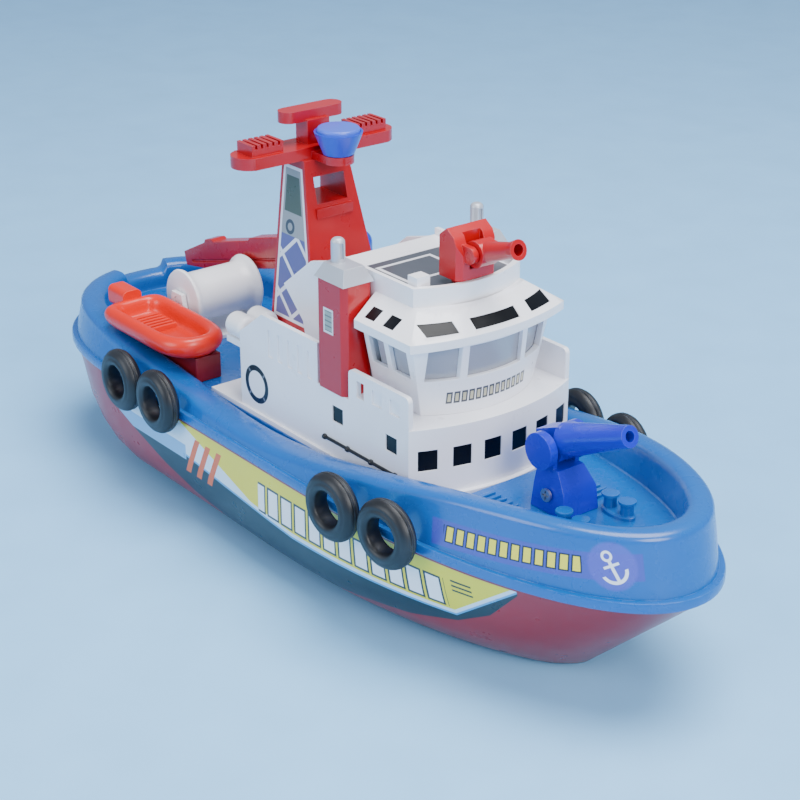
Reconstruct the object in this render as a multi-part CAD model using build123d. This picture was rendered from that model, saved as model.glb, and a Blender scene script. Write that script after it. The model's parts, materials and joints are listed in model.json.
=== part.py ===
from build123d import *
import math
import os

# Toy rescue boat, all sizes in mm.  +X is the bow, +Y is port, +Z is up.
# The origin lies in the middle of the flat keel that the boat stands on.

# Hull
wall = 1.8
seam_z = 36.0
flange_height = 3.0
flange_lip = 1.0
hull_half_beam = 42.5
keel_half_width = 22.0
bilge_height = 22.0
bilge_fullness = 2.1
keel_tip_x = 99.5
stem_rake = 1.0967
keel_bow_fullness = 1.4
seam_bow_fullness = 2.2
stern_x = -137.0
stern_undercut = 48.0
bow_shoulder_x = 20.0
stern_shoulder_x = -72.0

# Deck and bulwark
deck_z = 41.5
foredeck_rise = 2.0
foredeck_x = 66.0
rim_half_beam = 36.8
rim_width = 5.6
rim_tip_x = 134.0
rim_tail_x = -137.0
rim_top_z = 57.0
sheer_stern_z = 50.5
sheer_waist_z = 43.0
sheer_bow_z = 56.0
tow_notch_half_width = 9.0
tow_notch_floor_z = 47.5

# Deckhouse
house_aft_x = -25.0
house_corner_x = 57.0
house_front_x = 64.0
house_half_width = 29.5
house_wall = 1.6
bridge_z = 63.0
base_plate_aft_x = -41.0
base_plate_height = 1.5
parapet_top_z = 75.5
rail_top_z = 72.5
rail_aft_x = 29.8

# Wheelhouse
wheelhouse_aft_x = 9.5
bridge_wing_x = 30.5
wheelhouse_half_width = 20.5
wheelhouse_flare = 4.5
visor_z = 84.5
visor_height = 2.5
brow_z = 93.0
roof_half_width = 19.3
roof_front_x = 51.5
roof_z = 96.5
coaming_z = 98.5

# Funnels and mast
funnel_aft_x = 15.3
funnel_length = 13.5
funnel_inner_y = 19.4
funnel_top_z = 96.0
cap_height = 4.4
exhaust_radius = 2.0
exhaust_top_z = 107.5
mast_aft_x = -31.0
mast_base_length = 23.5
mast_top_length = 11.0
mast_base_half_width = 14.0
mast_top_half_width = 8.0
mast_top_z = 116.5
yard_half_span = 28.5
yard_height = 3.6
top_bar_z = 127.0
top_bar_half_span = 11.0

# Radar dish on the mast bracket
dish_x = -13.5
dish_radius = 7.4
dish_foot_radius = 4.6
dish_height = 7.0
dish_z = 119.0

# Deck crane, port side
crane_x = -33.0
crane_y = 19.3
turret_radius = 6.2
turret_z = 72.0
turret_top_z = 86.0
boom_pivot_z = 76.8
boom_pivot_reach = 10.0
boom_length = 80.0
boom_half_width = 3.0
boom_droop = 15.4
boom_slew = 4.0

# Towing winch
winch_x = -83.0
winch_y = -1.0
winch_z = 55.4
winch_flange_radius = 10.2
winch_barrel_radius = 8.4
winch_half_length = 13.0

# Rescue boat on its cradle, starboard side
rescue_x = -68.5
rescue_y = -28.7
rescue_z = 50.0
rescue_length = 47.0
rescue_width = 23.0
rescue_height = 7.5

# Life raft canisters
canister_radius = 3.8
canister_aft_x = -34.0
canister_z = 65.8

# Tyre fenders
tyre_radius = 10.1
tyre_hole_radius = 5.2
tyre_thickness = 6.0
tyre_z = 40.5
tyre_places_x = (-68.0, -46.5, 44.5, 66.0)

# Bow water cannon
cannon_x = 88.0
cannon_base = 13.0
cannon_top_z = 56.0
cannon_pivot_x = 85.0
cannon_pivot_z = 61.0
cannon_barrel_length = 25.0
cannon_pitch = 22.0
cannon_screw_z = 49.0

# Roof monitor
monitor_x = 45.5
monitor_length = 10.0
monitor_half_width = 7.0
monitor_top_z = 113.0
monitor_pivot_x = 52.0
monitor_pivot_z = 106.5
monitor_pitch = 18.0
monitor_nozzle_length = 15.5

# Drive line
shaft_z = 13.0
shaft_radius = 1.0
propeller_x = -107.0
propeller_radius = 9.0
tunnel_front_x = -94.0
tunnel_half_width = 13.5
tunnel_top_z = 24.5
rudder_x = -119.0
motor_radius = 10.0
motor_length = 26.0
motor_x = -64.0

# Batteries, two AA cells side by side
cell_count = 2
cell_radius = 7.2
cell_length = 50.0
cell_pitch = 15.0
cell_z = 11.0
bay_x = -18.0
bay_clearance = 1.0
switch_x = 21.0
switch_travel = 4.0

# Water pump
pump_x = 42.0
pump_radius = 11.0
pump_base_z = 4.0
hose_radius = 2.6

# Fasteners and fits
screw_radius = 1.3
screw_head_radius = 2.6
running_clearance = 0.08
gap = 0.3
boss_places = ((-82.0, 13.5), (68.0, 12.0))


def box(x0, x1, y0, y1, z0, z1):
    """Block between two opposite corners."""
    return Pos((x0 + x1) / 2, (y0 + y1) / 2, (z0 + z1) / 2) * Box(x1 - x0, y1 - y0, z1 - z0)


def upright(x, y, z0, z1, radius):
    """Vertical cylinder."""
    return Pos(x, y, (z0 + z1) / 2) * Cylinder(radius, z1 - z0)


def athwart(x, y0, y1, z, radius):
    """Cylinder along Y."""
    return Pos(x, (y0 + y1) / 2, z) * Rot(90, 0, 0) * Cylinder(radius, y1 - y0)


def lengthwise(x0, x1, y, z, radius):
    """Cylinder along X."""
    return Pos((x0 + x1) / 2, y, z) * Rot(0, 90, 0) * Cylinder(radius, x1 - x0)


def side_profile(points, y0, y1):
    """Polygon given in X and Z, thickened from y0 to y1."""
    outline = Polyline(*[(x, y0, z) for x, z in points], close=True)
    return extrude(make_face(outline), amount=y1 - y0, dir=(0, 1, 0))


def mirrored(shape):
    """The same shape on the other side of the centreline."""
    return mirror(shape, about=Plane.XZ)


def waterline(z, tip, tail, beam, fullness):
    """Closed horizontal section: round stern, parallel middle and a bow of the given fullness."""
    steps = 6
    port = [(tail, 0, z)]
    for k in range(1, steps):
        u = math.cos(math.pi / 2 * k / steps)
        y = beam * (1 - u**3) ** 0.455
        port.append((stern_shoulder_x + (tail - stern_shoulder_x) * u, y, z))
    port.append((stern_shoulder_x, beam, z))
    port.append(((stern_shoulder_x + bow_shoulder_x) / 2, beam, z))
    port.append((bow_shoulder_x, beam, z))
    for k in range(1, steps):
        u = math.sin(math.pi / 2 * k / steps)
        y = beam * (1 - u**fullness) ** 0.476
        port.append((bow_shoulder_x + (tip - bow_shoulder_x) * u, y, z))
    port.append((tip, 0, z))
    starboard = [(x, -y, h) for x, y, h in reversed(port[1:-1])]
    return make_face(Spline(*port, *starboard, periodic=True))


def lower_section(z, inset):
    """Waterline of the red hull at height z, drawn in by a wall where asked."""
    rise = min((z - 0.65 * inset) / bilge_height, 1.0)
    round_in = (1 - (1 - rise) ** bilge_fullness) ** (1 / bilge_fullness)
    beam = keel_half_width + (hull_half_beam - keel_half_width) * round_in
    tip = keel_tip_x + stem_rake * z
    tail = stern_x + stern_undercut * max(1 - z / seam_z, 0.0) ** 1.6
    fullness = keel_bow_fullness + (seam_bow_fullness - keel_bow_fullness) * z / seam_z
    return waterline(z, tip - 1.4 * inset, tail + 1.4 * inset, beam - inset, fullness)


def lower_loft(inset, floor_z, top_z):
    """Stack of the red hull's waterlines from a floor up to the seam."""
    heights = [floor_z + step for step in (0.0, 1.2, 3.2, 6.5, 11.0, 16.0)] + [bilge_height, top_z]
    return loft([lower_section(z, inset) for z in heights], ruled=True)


def upper_loft(inset, z0, z1):
    """Bulwark, leaning inwards from the flange to the rim, drawn in by a wall where asked."""
    low_beam = hull_half_beam - 0.4
    low_tip = keel_tip_x + stem_rake * seam_z - 1.2
    sections = []
    for z in (z0, (z0 + z1) / 2, z1):
        t = (z - seam_z - flange_height) / (rim_top_z - seam_z - flange_height)
        tip = low_tip + (rim_tip_x - low_tip) * t
        tail = stern_x - 1.0 + (rim_tail_x - stern_x + 1.0) * t
        beam = low_beam + (rim_half_beam - low_beam) * t
        fullness = seam_bow_fullness + 0.8 * t
        sections.append(waterline(z, tip - 1.2 * inset, tail + 1.2 * inset, beam - inset, fullness))
    return loft(sections, ruled=True)


def well(grow, z0):
    """Open space inside the bulwark, above height z0."""
    beam = rim_half_beam - rim_width + grow
    tip = rim_tip_x - rim_width - 1.4 + grow
    tail = rim_tail_x + rim_width + 1.6 - grow
    return loft([waterline(z, tip, tail, beam, 2.8) for z in (z0, rim_top_z + 3)], ruled=True)


def sheer_cut(lowered):
    """Everything above the curved rim line, for trimming the bulwark."""
    rise = sheer_bow_z - sheer_waist_z
    line = [
        (-160, sheer_stern_z),
        (-105, sheer_stern_z - 0.4),
        (-60, (sheer_stern_z + sheer_waist_z) / 2 - 0.2),
        (-22, sheer_waist_z),
        (5, sheer_waist_z),
        (30, sheer_waist_z + 0.22 * rise),
        (58, sheer_waist_z + 0.58 * rise),
        (84, sheer_waist_z + 0.88 * rise),
        (108, sheer_bow_z),
        (160, sheer_bow_z),
    ]
    curve = Spline(*[(x, -70, z - lowered) for x, z in line])
    lid = Polyline((160, -70, sheer_bow_z - lowered), (160, -70, 90), (-160, -70, 90),
                   (-160, -70, sheer_stern_z - lowered))
    return extrude(make_face([curve, lid]), amount=140, dir=(0, 1, 0))


def tunnel(grow):
    """Propeller tunnel under the stern."""
    half = tunnel_half_width + grow
    return box(-170, tunnel_front_x + grow, -half, half, -5, tunnel_top_z + grow)


def bay_half_width():
    return cell_count * cell_pitch / 2 + bay_clearance


def bay_half_length():
    return cell_length / 2 + 3.0


def make_lower_hull():
    """Red hull shell with propeller tunnel, skids, screw bosses and openings in the keel."""
    shell = lower_loft(0.0, 0.0, seam_z) - tunnel(0.0)
    hollow = lower_loft(wall, wall, seam_z + 0.5) - tunnel(wall)
    hull = shell - hollow
    for x, y in boss_places:
        for side in (-1, 1):
            boss = upright(x, side * y, wall / 2, seam_z - 2, screw_head_radius + 1.4)
            bore = upright(x, side * y, -1, seam_z, screw_radius + 0.25)
            sink = upright(x, side * y, -1, 5.0, screw_head_radius + 0.3)
            hull = hull + boss - bore - sink
    skid_y = keel_half_width + 5.0
    for x0, x1 in ((-105.5, -98.0), (-93.5, -87.0)):
        skid = box(x0, x1, skid_y - 1.6, skid_y, 0.0, 16.5)
        hull = hull + skid + mirrored(skid)
    half_w = bay_half_width()
    half_l = bay_half_length()
    hull -= box(bay_x - half_l, bay_x + half_l, -half_w, half_w, -1, wall + 1)
    hull -= lengthwise(tunnel_front_x - 2, tunnel_front_x + 6, 0, shaft_z, stern_tube_radius())
    hull -= upright(rudder_x, 0, tunnel_top_z - 2, tunnel_top_z + 4, 1.5 + running_clearance)
    hull -= upright(pump_x, 0, -1, wall + 1, strainer_radius())
    hull -= box(switch_x - 6, switch_x + 6, -6.2, 6.2, -1, wall + 1)
    return hull


def stern_tube_radius():
    return shaft_radius + 1.6


def strainer_radius():
    return pump_radius - 3.5


def make_upper_hull():
    """Blue deck moulding with rub flange, bulwark, tow notch and the gear moulded on the foredeck."""
    tip = keel_tip_x + stem_rake * seam_z + flange_lip
    beam = hull_half_beam + flange_lip
    flange = extrude(waterline(seam_z, tip, -tip, beam, seam_bow_fullness), amount=flange_height,
                     dir=(0, 0, 1))
    outer = flange + upper_loft(0.0, seam_z + flange_height, rim_top_z)
    inner = upper_loft(wall, seam_z - 1, rim_top_z) - well(wall, deck_z - wall) - sheer_cut(2.0)
    hull = outer - inner - well(0.0, deck_z) - sheer_cut(0.0)
    fore = well(0.5, deck_z - 0.5) & box(foredeck_x, 150, -60, 60, deck_z - 0.5, deck_z + foredeck_rise)
    hull += fore
    notch = Polyline((stern_x - 8, -tow_notch_half_width, tow_notch_floor_z),
                     (stern_x - 8, tow_notch_half_width, tow_notch_floor_z),
                     (stern_x - 8, tow_notch_half_width + 4, tow_notch_floor_z + 8),
                     (stern_x - 8, -tow_notch_half_width - 4, tow_notch_floor_z + 8), close=True)
    hull -= extrude(make_face(notch), amount=22, dir=(1, 0, 0))
    deck = deck_z + foredeck_rise
    for side in (-1, 1):
        for k in range(9):
            x = 70.0 + 2.4 * k
            hull += box(x, x + 1.2, side * 13.0 - 3.0, side * 13.0 + 3.0, deck - 0.5, deck + 0.8)
        for x in (97.0, 103.5):
            hull += upright(x, side * 8.5, deck - 0.5, deck + 5.5, 1.9)
            hull += upright(x, side * 8.5, deck + 4.2, deck + 5.5, 2.5)
        hull += box(94.5, 106.0, side * 8.5 - 2.8, side * 8.5 + 2.8, deck - 0.5, deck + 1.4)
    for x, y in boss_places:
        for side in (-1, 1):
            boss = upright(x, side * y, seam_z - 2 + 0.05, deck_z - 0.5, screw_head_radius + 1.4)
            hull = hull + boss - upright(x, side * y, seam_z - 3, deck_z - 2.0, screw_radius)
    hull -= upright(cannon_x, 0, deck_z - 3, deck + 1, 3.5 + running_clearance)
    return hull


def house_plan(z, aft, corner, front, half):
    """Horizontal section of a house: square aft end, straight sides, bowed front."""
    sides = Polyline((corner, -half, z), (aft, -half, z), (aft, half, z), (corner, half, z))
    bow = ThreePointArc((corner, -half, z), (front, 0, z), (corner, half, z))
    return make_face([sides, bow])


def house_block(aft, corner, front, half, z0, z1):
    return extrude(house_plan(z0, aft, corner, front, half), amount=z1 - z0)


def front_x_at(y, corner, front, half):
    """Where the bowed front stands at a distance y from the centreline."""
    bulge = front - corner
    radius = (half**2 + bulge**2) / (2 * bulge)
    return front - radius + math.sqrt(radius**2 - y**2)


house_window_width = 5.6
house_window_z = (50.5, 56.5)
house_window_places_y = (-24.5, -14.7, -4.9, 4.9, 14.7, 24.5)
side_window_places_x = (22.0, 46.8)
side_window_width = 4.9
side_window_z = (53.8, 58.6)
pane_thickness = 0.7


def house_windows(grow, depth_in):
    """Blocks where the deckhouse windows are let into the walls."""
    blocks = []
    z0, z1 = house_window_z
    for y in house_window_places_y:
        half = house_window_width / 2 + grow
        outer_face = front_x_at(abs(y), house_corner_x, house_front_x, house_half_width)
        turn = -math.degrees(math.asin(y / house_front_radius()))
        pane = box(-depth_in, 2.0 if grow > 0 else -0.35, -half, half, z0 - grow, z1 + grow)
        blocks.append(Pos(outer_face, y, 0) * Rot(0, 0, -turn) * pane)
    z0, z1 = side_window_z
    for x in side_window_places_x:
        for side in (-1, 1):
            reach = 1.0 if grow > 0 else -0.35
            y_in = side * (house_half_width - depth_in)
            y_out = side * (house_half_width + reach)
            blocks.append(box(x - grow, x + side_window_width + grow, min(y_in, y_out),
                              max(y_in, y_out), z0 - grow, z1 + grow))
    return blocks


def house_front_radius():
    bulge = house_front_x - house_corner_x
    return (house_half_width**2 + bulge**2) / (2 * bulge)


def make_deckhouse():
    """White deckhouse: foot plate, hollow house with bridge deck, parapets and bridge rails."""
    z0 = deck_z + base_plate_height
    plate = house_block(base_plate_aft_x, house_corner_x, house_front_x + 1.6, house_half_width + 0.8,
                        deck_z, z0)
    plate -= box(foredeck_x - gap, 90, -60, 60, deck_z - 1, z0 + 1)
    house = house_block(house_aft_x, house_corner_x, house_front_x, house_half_width, deck_z, bridge_z)
    t = house_wall
    room = house_block(house_aft_x + t, house_corner_x - t, house_front_x - t, house_half_width - t,
                       deck_z - 1, bridge_z - t)
    body = plate + house - room
    half = house_half_width
    parapet = side_profile([(house_aft_x, bridge_z - 1), (house_aft_x, 66.5), (-13, parapet_top_z),
                            (funnel_aft_x - gap, parapet_top_z), (funnel_aft_x - gap, bridge_z - 1)],
                           -half, -half + t)
    for k in range(5):
        x = -10.0 + 5.0 * k
        parapet -= box(x, x + 2.4, -half - 1, -half + 0.5, 62.0, 71.5)
    rail = box(rail_aft_x, house_corner_x, -half, -half + t, bridge_z - 1, rail_top_z)
    rail = fillet(rail.edges().filter_by(Axis.Y).sort_by(Axis.Z)[-2:], 1.6)
    rail -= box(33.6, 36.9, -half - 1, -half + 3, 65.0, 70.0)
    for x in (40.6, 48.6):
        rail -= box(x, x + 4.4, -half - 1, -half + 0.5, 65.4, 69.6)
    for shape in (parapet, rail):
        body = body + shape + mirrored(shape)
    for cut in house_windows(0.05, pane_thickness + 0.35):
        body -= cut
    body -= mast_foot(0.0)
    return body


def mast_foot(grow):
    """Square peg under the mast that stands in a slot of the bridge deck."""
    x = mast_aft_x + 5.0
    return box(x - grow, x + 12 + grow, -6 - grow, 6 + grow, bridge_z - house_wall - 0.5, bridge_z + 0.5)


def make_house_windows():
    """Dark window panes let into the deckhouse."""
    panes = house_windows(0.0, pane_thickness + 0.35)
    return Compound(children=[pane.solid() for pane in panes])


def wheelhouse_shell(inset, z0, z1):
    """Flared front room of the wheelhouse between two heights."""
    faces = []
    for z in (z0, z1):
        flare = wheelhouse_flare * (z - bridge_z) / (visor_z - bridge_z)
        corner = 51.0 + flare * 0.45 - inset
        front = 58.0 + flare * 0.45 - inset
        half = wheelhouse_half_width + flare - inset
        faces.append(house_plan(z, bridge_wing_x + inset, corner, front, half))
    return loft(faces, ruled=True)


wheelhouse_wall = 1.5
window_sill_z = 74.0
window_head_z = 83.6


def make_wheelhouse():
    """White wheelhouse walls with open window bays, the narrow rear room and its side screens."""
    t = wheelhouse_wall
    front = wheelhouse_shell(0.0, bridge_z, visor_z) - wheelhouse_shell(t, bridge_z - 0.5, visor_z + 0.5)
    for y0, y1 in ((-21.0, -11.8), (-9.6, 9.6), (11.8, 21.0)):
        front -= box(50.0, 70.0, y0, y1, window_sill_z, window_head_z)
    for x0, x1 in ((32.6, 39.4), (41.6, 49.4)):
        front -= box(x0, x1, -40, 40, window_sill_z, window_head_z)
    half = roof_half_width - 0.8
    aft = box(wheelhouse_aft_x, bridge_wing_x + t, -half, half, bridge_z, visor_z)
    aft -= box(wheelhouse_aft_x + t, bridge_wing_x + t + 1, -half + t, half - t, bridge_z - 1, visor_z + 1)
    screen = side_profile([(wheelhouse_aft_x, 96.0), (-3.0, 92.5), (-17.0, 81.6), (-7.5, 72.6),
                           (-5.0, bridge_z), (wheelhouse_aft_x, bridge_z)], -half, -half + t)
    return front + aft + screen + mirrored(screen)


def make_wheelhouse_glazing():
    """Smoked panes standing just inside the window bays."""
    t = wheelhouse_wall + 0.05
    outer = wheelhouse_shell(t, window_sill_z - 1.0, visor_z - 0.1)
    inner = wheelhouse_shell(t + pane_thickness, window_sill_z - 2.0, visor_z + 1.0)
    return (outer - inner) - box(bridge_wing_x - 1, bridge_wing_x + 4, -60, 60, 60, 95)


brow_corner_x = 55.5
brow_front_x = 61.0
brow_half_width = 27.8
brow_windows_front = ((-22.3, -13.0), (-7.9, 7.9), (13.0, 22.3))
brow_windows_side = ((33.0, 37.4), (41.2, 45.8))


def brow_block(inset, z0, z1):
    """Sloping brow above the visor."""
    low = house_plan(z0, bridge_wing_x + inset, brow_corner_x - inset, brow_front_x - inset,
                     brow_half_width - inset)
    high = house_plan(z1, bridge_wing_x - 1.2 + inset, 47.6 - inset, 54.0 - inset, roof_half_width - inset)
    return loft([low, high], ruled=True)


def brow_window_cuts(shrink):
    """Blocks that mark the small brow windows, front and sides."""
    z0 = visor_z + visor_height + 1.0 + shrink
    z1 = brow_z - 2.5 - shrink
    cuts = []
    for y0, y1 in brow_windows_front:
        cuts.append(box(50.0, 66.0, y0 + shrink, y1 - shrink, z0, z1))
    for x0, x1 in brow_windows_side:
        for side in (-1, 1):
            y0 = 20.5 if side > 0 else -32.0
            cuts.append(box(x0 + shrink, x1 - shrink, y0, y0 + 11.5, z0, z1))
    return cuts


def make_wheelhouse_roof():
    """White roof: visor plate, sloping brow, roof tray with a low coaming."""
    z1 = visor_z + visor_height
    visor = house_block(bridge_wing_x, brow_corner_x, brow_front_x, brow_half_width, visor_z, z1)
    visor -= house_block(bridge_wing_x + 5, 48.0, 54.0, 18.0, visor_z - 1, z1 + 1)
    brow = brow_block(0.0, z1, brow_z) - brow_block(2.0, z1 - 0.01, brow_z + 0.01)
    tray = house_block(wheelhouse_aft_x, 46.0, roof_front_x, roof_half_width, visor_z, coaming_z)
    tray -= house_block(wheelhouse_aft_x + 1.6, 44.4, roof_front_x - 1.6, roof_half_width - 1.6,
                        visor_z - 1, roof_z - 1.6)
    tray -= house_block(wheelhouse_aft_x - 1, 44.6, roof_front_x - 1.4, roof_half_width - 1.4,
                        roof_z, coaming_z + 1)
    roof = visor + brow + tray
    skin = brow_block(0.0, z1, brow_z) - brow_block(0.8, z1 - 0.01, brow_z + 0.01)
    for cut in brow_window_cuts(0.0):
        roof -= cut & skin
    roof += box(41.5, 45.5, -17.6, -13.0, roof_z - 0.5, 101.0)
    return roof - upright(monitor_x, 0, roof_z - 3, roof_z + 1, 2.5 + running_clearance)


def make_brow_windows():
    """Dark panes of the brow windows."""
    z1 = visor_z + visor_height
    band = brow_block(0.25, z1, brow_z) - brow_block(0.75, z1 - 0.01, brow_z + 0.01)
    panes = []
    for cut in brow_window_cuts(0.05):
        panes.extend((cut & band).solids())
    return Compound(children=panes)


def make_mast():
    """Red mast tower with a view-through opening, shelf, yard arms, dish bracket and top bar."""
    def section(z, length, half):
        front = mast_aft_x + length
        return make_face(Polyline((mast_aft_x, -half, z), (front, -half, z), (front, half, z),
                                  (mast_aft_x, half, z), close=True))

    tower = loft([section(bridge_z, mast_base_length, mast_base_half_width),
                  section(mast_top_z, mast_top_length, mast_top_half_width)], ruled=True)
    core = loft([section(bridge_z - 0.01, mast_base_length - 2, mast_base_half_width - 1.6),
                 section(101.0, mast_top_length + 1.3, mast_top_half_width)], ruled=True)
    tower -= Pos(1.0, 0, 0) * core & box(-60, 40, -30, 30, bridge_z + 1.5, 98.0)
    tower -= box(-60, 40, -5.6, 5.6, 103.5, 111.5)
    shelf = box(mast_aft_x + 2, -15.5, -6.6, 6.6, 99.5, 102.5)
    yard = box(mast_aft_x - 1.0, -21.0, -yard_half_span + 4, yard_half_span - 4,
               mast_top_z, mast_top_z + yard_height)
    for side in (-1, 1):
        yard += upright(mast_aft_x + 4.5, side * (yard_half_span - 5.5), mast_top_z,
                        mast_top_z + yard_height, 5.5)
        block = box(mast_aft_x + 0.6, -22.5, side * 19.0 - 5.5, side * 19.0 + 5.5,
                    mast_top_z + yard_height - 0.5, mast_top_z + yard_height + 3.4)
        for k in range(5):
            y = side * 19.0 - 4.4 + 2.0 * k
            block -= box(mast_aft_x - 1, -21, y, y + 0.8, mast_top_z + yard_height + 2.2, 130)
        yard += block
    post = box(mast_aft_x + 1.5, mast_aft_x + 7.5, -4.0, 4.0, mast_top_z + yard_height - 0.5, top_bar_z + 0.5)
    bar = box(mast_aft_x, mast_aft_x + 6.5, -top_bar_half_span + 3, top_bar_half_span - 3,
              top_bar_z, top_bar_z + 3.4)
    for side in (-1, 1):
        bar += upright(mast_aft_x + 3.25, side * (top_bar_half_span - 3.25), top_bar_z,
                       top_bar_z + 3.4, 3.25)
    bracket = upright(dish_x, 0, mast_top_z, dish_z - gap / 3, dish_foot_radius)
    bracket += box(-24.0, dish_x, -4.5, 4.5, mast_top_z, dish_z - gap / 3)
    pin = upright(dish_x, 0, dish_z - 1, dish_z + 5.0, 1.5)
    return tower + shelf + yard + post + bar + bracket + pin + mast_foot(-running_clearance)


def make_radar_dish():
    """Blue bowl that turns on the mast's pin."""
    bowl = Pos(dish_x, 0, dish_z + dish_height / 2) * Cone(dish_foot_radius, dish_radius, dish_height)
    bowl -= upright(dish_x, 0, dish_z + dish_height - 1.2, dish_z + dish_height + 1, dish_radius - 1.0)
    return bowl - upright(dish_x, 0, dish_z - 1, dish_z + 5.3, 1.5 + running_clearance)


def make_radar_lid():
    """Lid pressed into the bowl."""
    z = dish_z + dish_height - 1.2
    lid = upright(dish_x, 0, z, z + 2.4, dish_radius - 1.0)
    return fillet(lid.edges().sort_by(Axis.Z)[-1:], 0.8)


def make_funnel():
    """Red starboard funnel casing, closed top, open foot."""
    x1 = funnel_aft_x + funnel_length
    outer = box(funnel_aft_x, x1, -house_half_width - 0.6, -funnel_inner_y, bridge_z, funnel_top_z)
    outer = chamfer(outer.edges().filter_by(Axis.Z), 1.6)
    t = 1.4
    hollow = box(funnel_aft_x + t, x1 - t, -house_half_width - 0.6 + t, -funnel_inner_y - t,
                 bridge_z - 1, funnel_top_z - t)
    return outer - hollow


def make_exhaust_cap():
    """Silver cap with its exhaust pipe on the starboard funnel."""
    x1 = funnel_aft_x + funnel_length
    z1 = funnel_top_z + cap_height
    y0 = -house_half_width - 0.8
    low = Plane.XY.offset(funnel_top_z) * Pos((funnel_aft_x + x1) / 2, (y0 - funnel_inner_y) / 2)
    size_y = -funnel_inner_y - y0
    base = low * Rectangle(x1 - funnel_aft_x + 0.4, size_y)
    top = Pos(0, 0, cap_height) * (low * Rectangle(x1 - funnel_aft_x - 4.0, size_y - 4.0))
    cap = loft([base, top], ruled=True)
    pipe_x = funnel_aft_x + 4.6
    pipe_y = -25.2
    pipe = upright(pipe_x, pipe_y, z1 - 1, exhaust_top_z, exhaust_radius)
    pipe = fillet(pipe.edges().sort_by(Axis.Z)[-1:], 1.4)
    pipe -= box(pipe_x + 1.2, pipe_x + 4, pipe_y - 0.6, pipe_y + 0.6, z1 + 1, exhaust_top_z - 1.5)
    return cap + pipe


def make_life_raft_canisters():
    """Two white canisters on a shelf at the aft end of the bridge deck."""
    bottom_z = canister_z - canister_radius
    body = box(canister_aft_x + 1.0, house_aft_x, -29.0, -14.5, bottom_z - 1.2, bottom_z + 0.8)
    for y in (-25.6, -18.2):
        barrel = lengthwise(canister_aft_x, house_aft_x - gap, y, canister_z, canister_radius)
        body += fillet(barrel.edges(), 1.6)
    return body


def make_boat_cradle():
    """Dark red chock under the rescue boat."""
    x0 = rescue_x - 14
    x1 = rescue_x + 20
    top = rescue_z
    y0 = rescue_y - 2.1
    y1 = rescue_y + 7.2
    block = box(x0, x1, y0, y1, deck_z, top)
    block -= box(x0 + 2, x1 - 2, y0 + 2, y1 - 2, deck_z - 1, top - 2)
    return block


def rescue_plan(z, inset):
    """Blunt-bowed boat outline."""
    x0 = rescue_x - rescue_length / 2 + inset
    x1 = rescue_x + rescue_length / 2 - inset
    h = rescue_width / 2 - inset
    points = [(x0, -h + 2), (x0 + 2, -h), (x1 - 9, -h), (x1 - 1.5, -h * 0.55), (x1, 0),
              (x1 - 1.5, h * 0.55), (x1 - 9, h), (x0 + 2, h), (x0, h - 2)]
    return make_face(Polyline(*[(x, rescue_y + y, z) for x, y in points], close=True))


def make_rescue_boat():
    """Orange rescue boat with a wide tube round an open cockpit."""
    z1 = rescue_z + rescue_height
    hull = loft([rescue_plan(rescue_z, 3.0), rescue_plan(rescue_z + 3.5, 0.0), rescue_plan(z1, 0.8)],
                ruled=True)
    hull -= loft([rescue_plan(rescue_z + 1.8, 5.2), rescue_plan(z1 + 0.5, 4.0)], ruled=True)
    x0 = rescue_x - rescue_length / 2
    for k in range(5):
        x = x0 + 9.5 + 2.2 * k
        hull += box(x, x + 1.0, rescue_y - 5.5, rescue_y + 5.5, rescue_z + 1.5, rescue_z + 3.6)
    return hull - box(x0 - 1, x0 + 2.6, rescue_y - 3.6, rescue_y + 3.6, rescue_z + 2, z1 + 1)


def make_outboard_motor():
    """Outboard engine clamped in the rescue boat's transom."""
    x0 = rescue_x - rescue_length / 2
    cowl = box(x0 - 7.5, x0 + 2.6 - gap, rescue_y - 3.6 + 0.1, rescue_y + 3.6 - 0.1, rescue_z + 3.4,
               rescue_z + 10.2)
    cowl = fillet(cowl.edges().filter_by(Axis.X), 2.0)
    leg = box(x0 - 5.5, x0 - 2.0, rescue_y - 1.2, rescue_y + 1.2, rescue_z + 0.5, rescue_z + 4.0)
    return cowl + leg


def make_winch_frame():
    """Two cheeks on a foot plate that carry the towing winch."""
    half = winch_half_length + 0.25
    frame = box(winch_x - 8, winch_x + 8, winch_y - half - 1.8, winch_y + half + 1.8, deck_z, deck_z + 1.5)
    for y0 in (winch_y - half - 1.8, winch_y + half):
        cheek = side_profile([(winch_x - 7, deck_z), (winch_x + 7, deck_z), (winch_x + 3, winch_z + 3),
                              (winch_x - 3, winch_z + 3)], y0, y0 + 1.8)
        frame += cheek
    return frame - athwart(winch_x, winch_y - 20, winch_y + 20, winch_z, 1.5 + running_clearance)


def make_winch_drum():
    """White winch drum with two flanges and stub axles."""
    half = winch_half_length
    drum = athwart(winch_x, winch_y - half, winch_y + half, winch_z, winch_barrel_radius)
    for y0 in (winch_y - half, winch_y + half - 1.8):
        drum += athwart(winch_x, y0, y0 + 1.8, winch_z, winch_flange_radius)
    return drum + athwart(winch_x, winch_y - half - 1.9, winch_y + half + 1.9, winch_z, 1.5)


def crane_turn(shape):
    """Turn about the crane's upright axis to its stowed bearing."""
    return Pos(crane_x, crane_y, 0) * Rot(0, 0, boom_slew) * Pos(-crane_x, -crane_y, 0) * shape


def make_crane_column():
    """Blue column of the crane on the deckhouse foot plate."""
    foot = deck_z + base_plate_height
    column = upright(crane_x, crane_y, foot, turret_z - gap / 3, 4.5)
    column += upright(crane_x, crane_y, foot, foot + 2.0, 6.5)
    return column + upright(crane_x, crane_y, turret_z - 1, turret_z + 6, 2.0)


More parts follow.
